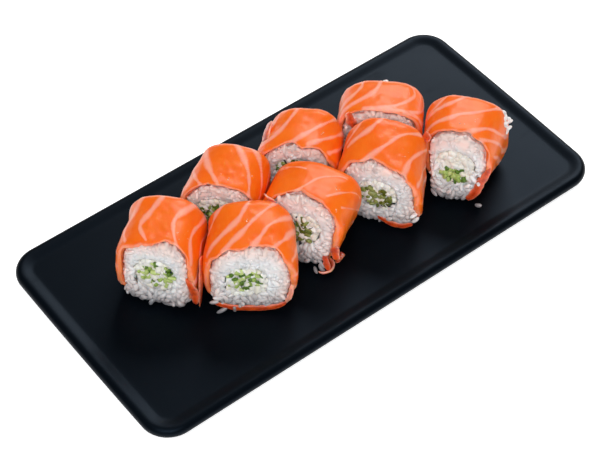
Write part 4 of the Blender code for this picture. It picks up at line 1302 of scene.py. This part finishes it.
def makeLooseGrains(material):
    rng = np.random.default_rng(500)
    laid = []
    for number, roll in rolls.items():
        half, count = roll["length"] / 2, loose["hanging"]
        ahead = rng.uniform(*loose["ahead"], count)
        y = rng.uniform(-loose["spread"], loose["spread"], count) * roll["width"]
        z = rng.uniform(*loose["high"], count)
        spots = np.stack([ahead, y, z], -1)
        if number in loose["placed"]:
            spots = np.concatenate([spots, np.array(loose["placed"][number], float)])
        place = leant(roll, half + spots[:, 0], spots[:, 1], spots[:, 2])
        if number == loose["patch"]["roll"]:
            patch = loose["patch"]
            behind = rng.uniform(*patch["behind"], patch["grains"])
            bearing = rng.uniform(*patch["bearing"], patch["grains"])
            place = np.concatenate([place, skinPoints(roll, half - behind, bearing, 0.5)])
        count = len(place)
        length, width = rice["grainLength"] * 0.9, rice["grainWidth"]
        size = np.stack([rng.normal(length, 0.4, count), rng.normal(width * 0.85, 0.2, count),
                         rng.normal(width * 0.8, 0.15, count)], -1) / 2
        lengthwise, upward = unitVectors(rng, count) * (0.6, 1, 0.8), unitVectors(rng, count) + (1.2, 0, 0.3)
        grains = layShapes(grainPoints, place, lengthwise, upward, size, rng.uniform(0, 0.4, count))
        grains[..., 2] = np.maximum(grains[..., 2], 0.0)
        laid.append((toPlate(roll, grains), paintedShadeAt(grains), np.repeat(rng.random(count), len(grainPoints))))
    points, paintedShade, shade = (np.concatenate([part[index].reshape(-1, *part[index].shape[2:]) for part in laid])
                           for index in range(3))
    count, size = len(points) // len(grainPoints), len(grainPoints)
    faces = [repeatFaces(grainQuads, count, size), repeatFaces(grainTriangles, count, size)]
    addPiece("looseGrains", points, faces, material, {"blush": np.full(len(points), 0.15), "shade": shade, "paintedShade": paintedShade.ravel()})


makeLooseGrains(riceCooked)


# beads of moisture in small groups on the salmon, their pale colour a painted highlight: (bearing, mm behind the
# cut) on each roll
beads = {
    "each": 3, "spread": 1.3, "size": (0.2, 0.46), "flat": 0.45,
    "groups": {
        1: ((66, 10.6), (55, 10.5), (60, 8)), 2: ((150, 5), (168, 4), (95, 17)), 3: ((60, 12), (88, 7)),
        4: ((46, 3.7), (26, 1.5), (60, 14)), 5: ((78, 11.7), (62, 10.6)),
        6: ((65, 11.1), (58, 9.2), (76, 22.5)), 7: ((70, 9), (100, 16)), 8: ((70, 16), (95, 9)),
    },
}


def beadPaint():
    paint = Paint("moistureAndPaintedGlint")
    place = paint.node("ShaderNodeTexCoord", {}, {}, "Object")
    cloud = paint.noise(place, 1500.0, 2.0, 0.5)
    # painted highlight: the beads are pale orange, lighter than the salmon under them; their gloss adds real glints
    colour = paint.mix((1.0, 0.34, 0.14), (1.0, 0.62, 0.45), cloud)
    return paint.finish(Base_Color=colour, Roughness=0.06 + cloud * 0.08, Coat_Weight=1.0, Coat_Roughness=0.05,
                        Specular_IOR_Level=0.8)


def makeBeads(material):
    rng = np.random.default_rng(600)
    laid = []
    for number, roll in rolls.items():
        groups = np.repeat(np.array(beads["groups"][number], float), beads["each"], axis=0)
        count = len(groups)
        bearing = groups[:, 0] + rng.normal(0, beads["spread"], count) * 360 / (math.pi * roll["width"])
        x = roll["length"] / 2 - groups[:, 1] + rng.normal(0, beads["spread"], count)
        place, higher = skinPoints(roll, x, bearing, 0.1), skinPoints(roll, x, bearing, -0.9)
        size = rng.uniform(*beads["size"], (count, 3)) * (1, 1, beads["flat"])
        lengthwise = unitVectors(rng, count)
        drops = layShapes(softBlock, place, lengthwise, higher - place, size)
        laid.append(toPlate(roll, drops).reshape(-1, 3))
    points = np.concatenate(laid)
    count = len(points) // len(softBlock)
    addPiece("moistBeadsAndPaintedGlint", points, [repeatFaces(softQuads, count, len(softBlock)),
                                    repeatFaces(softTriangles, count, len(softBlock))], material)


makeBeads(beadPaint())
print("loose pieces laid")
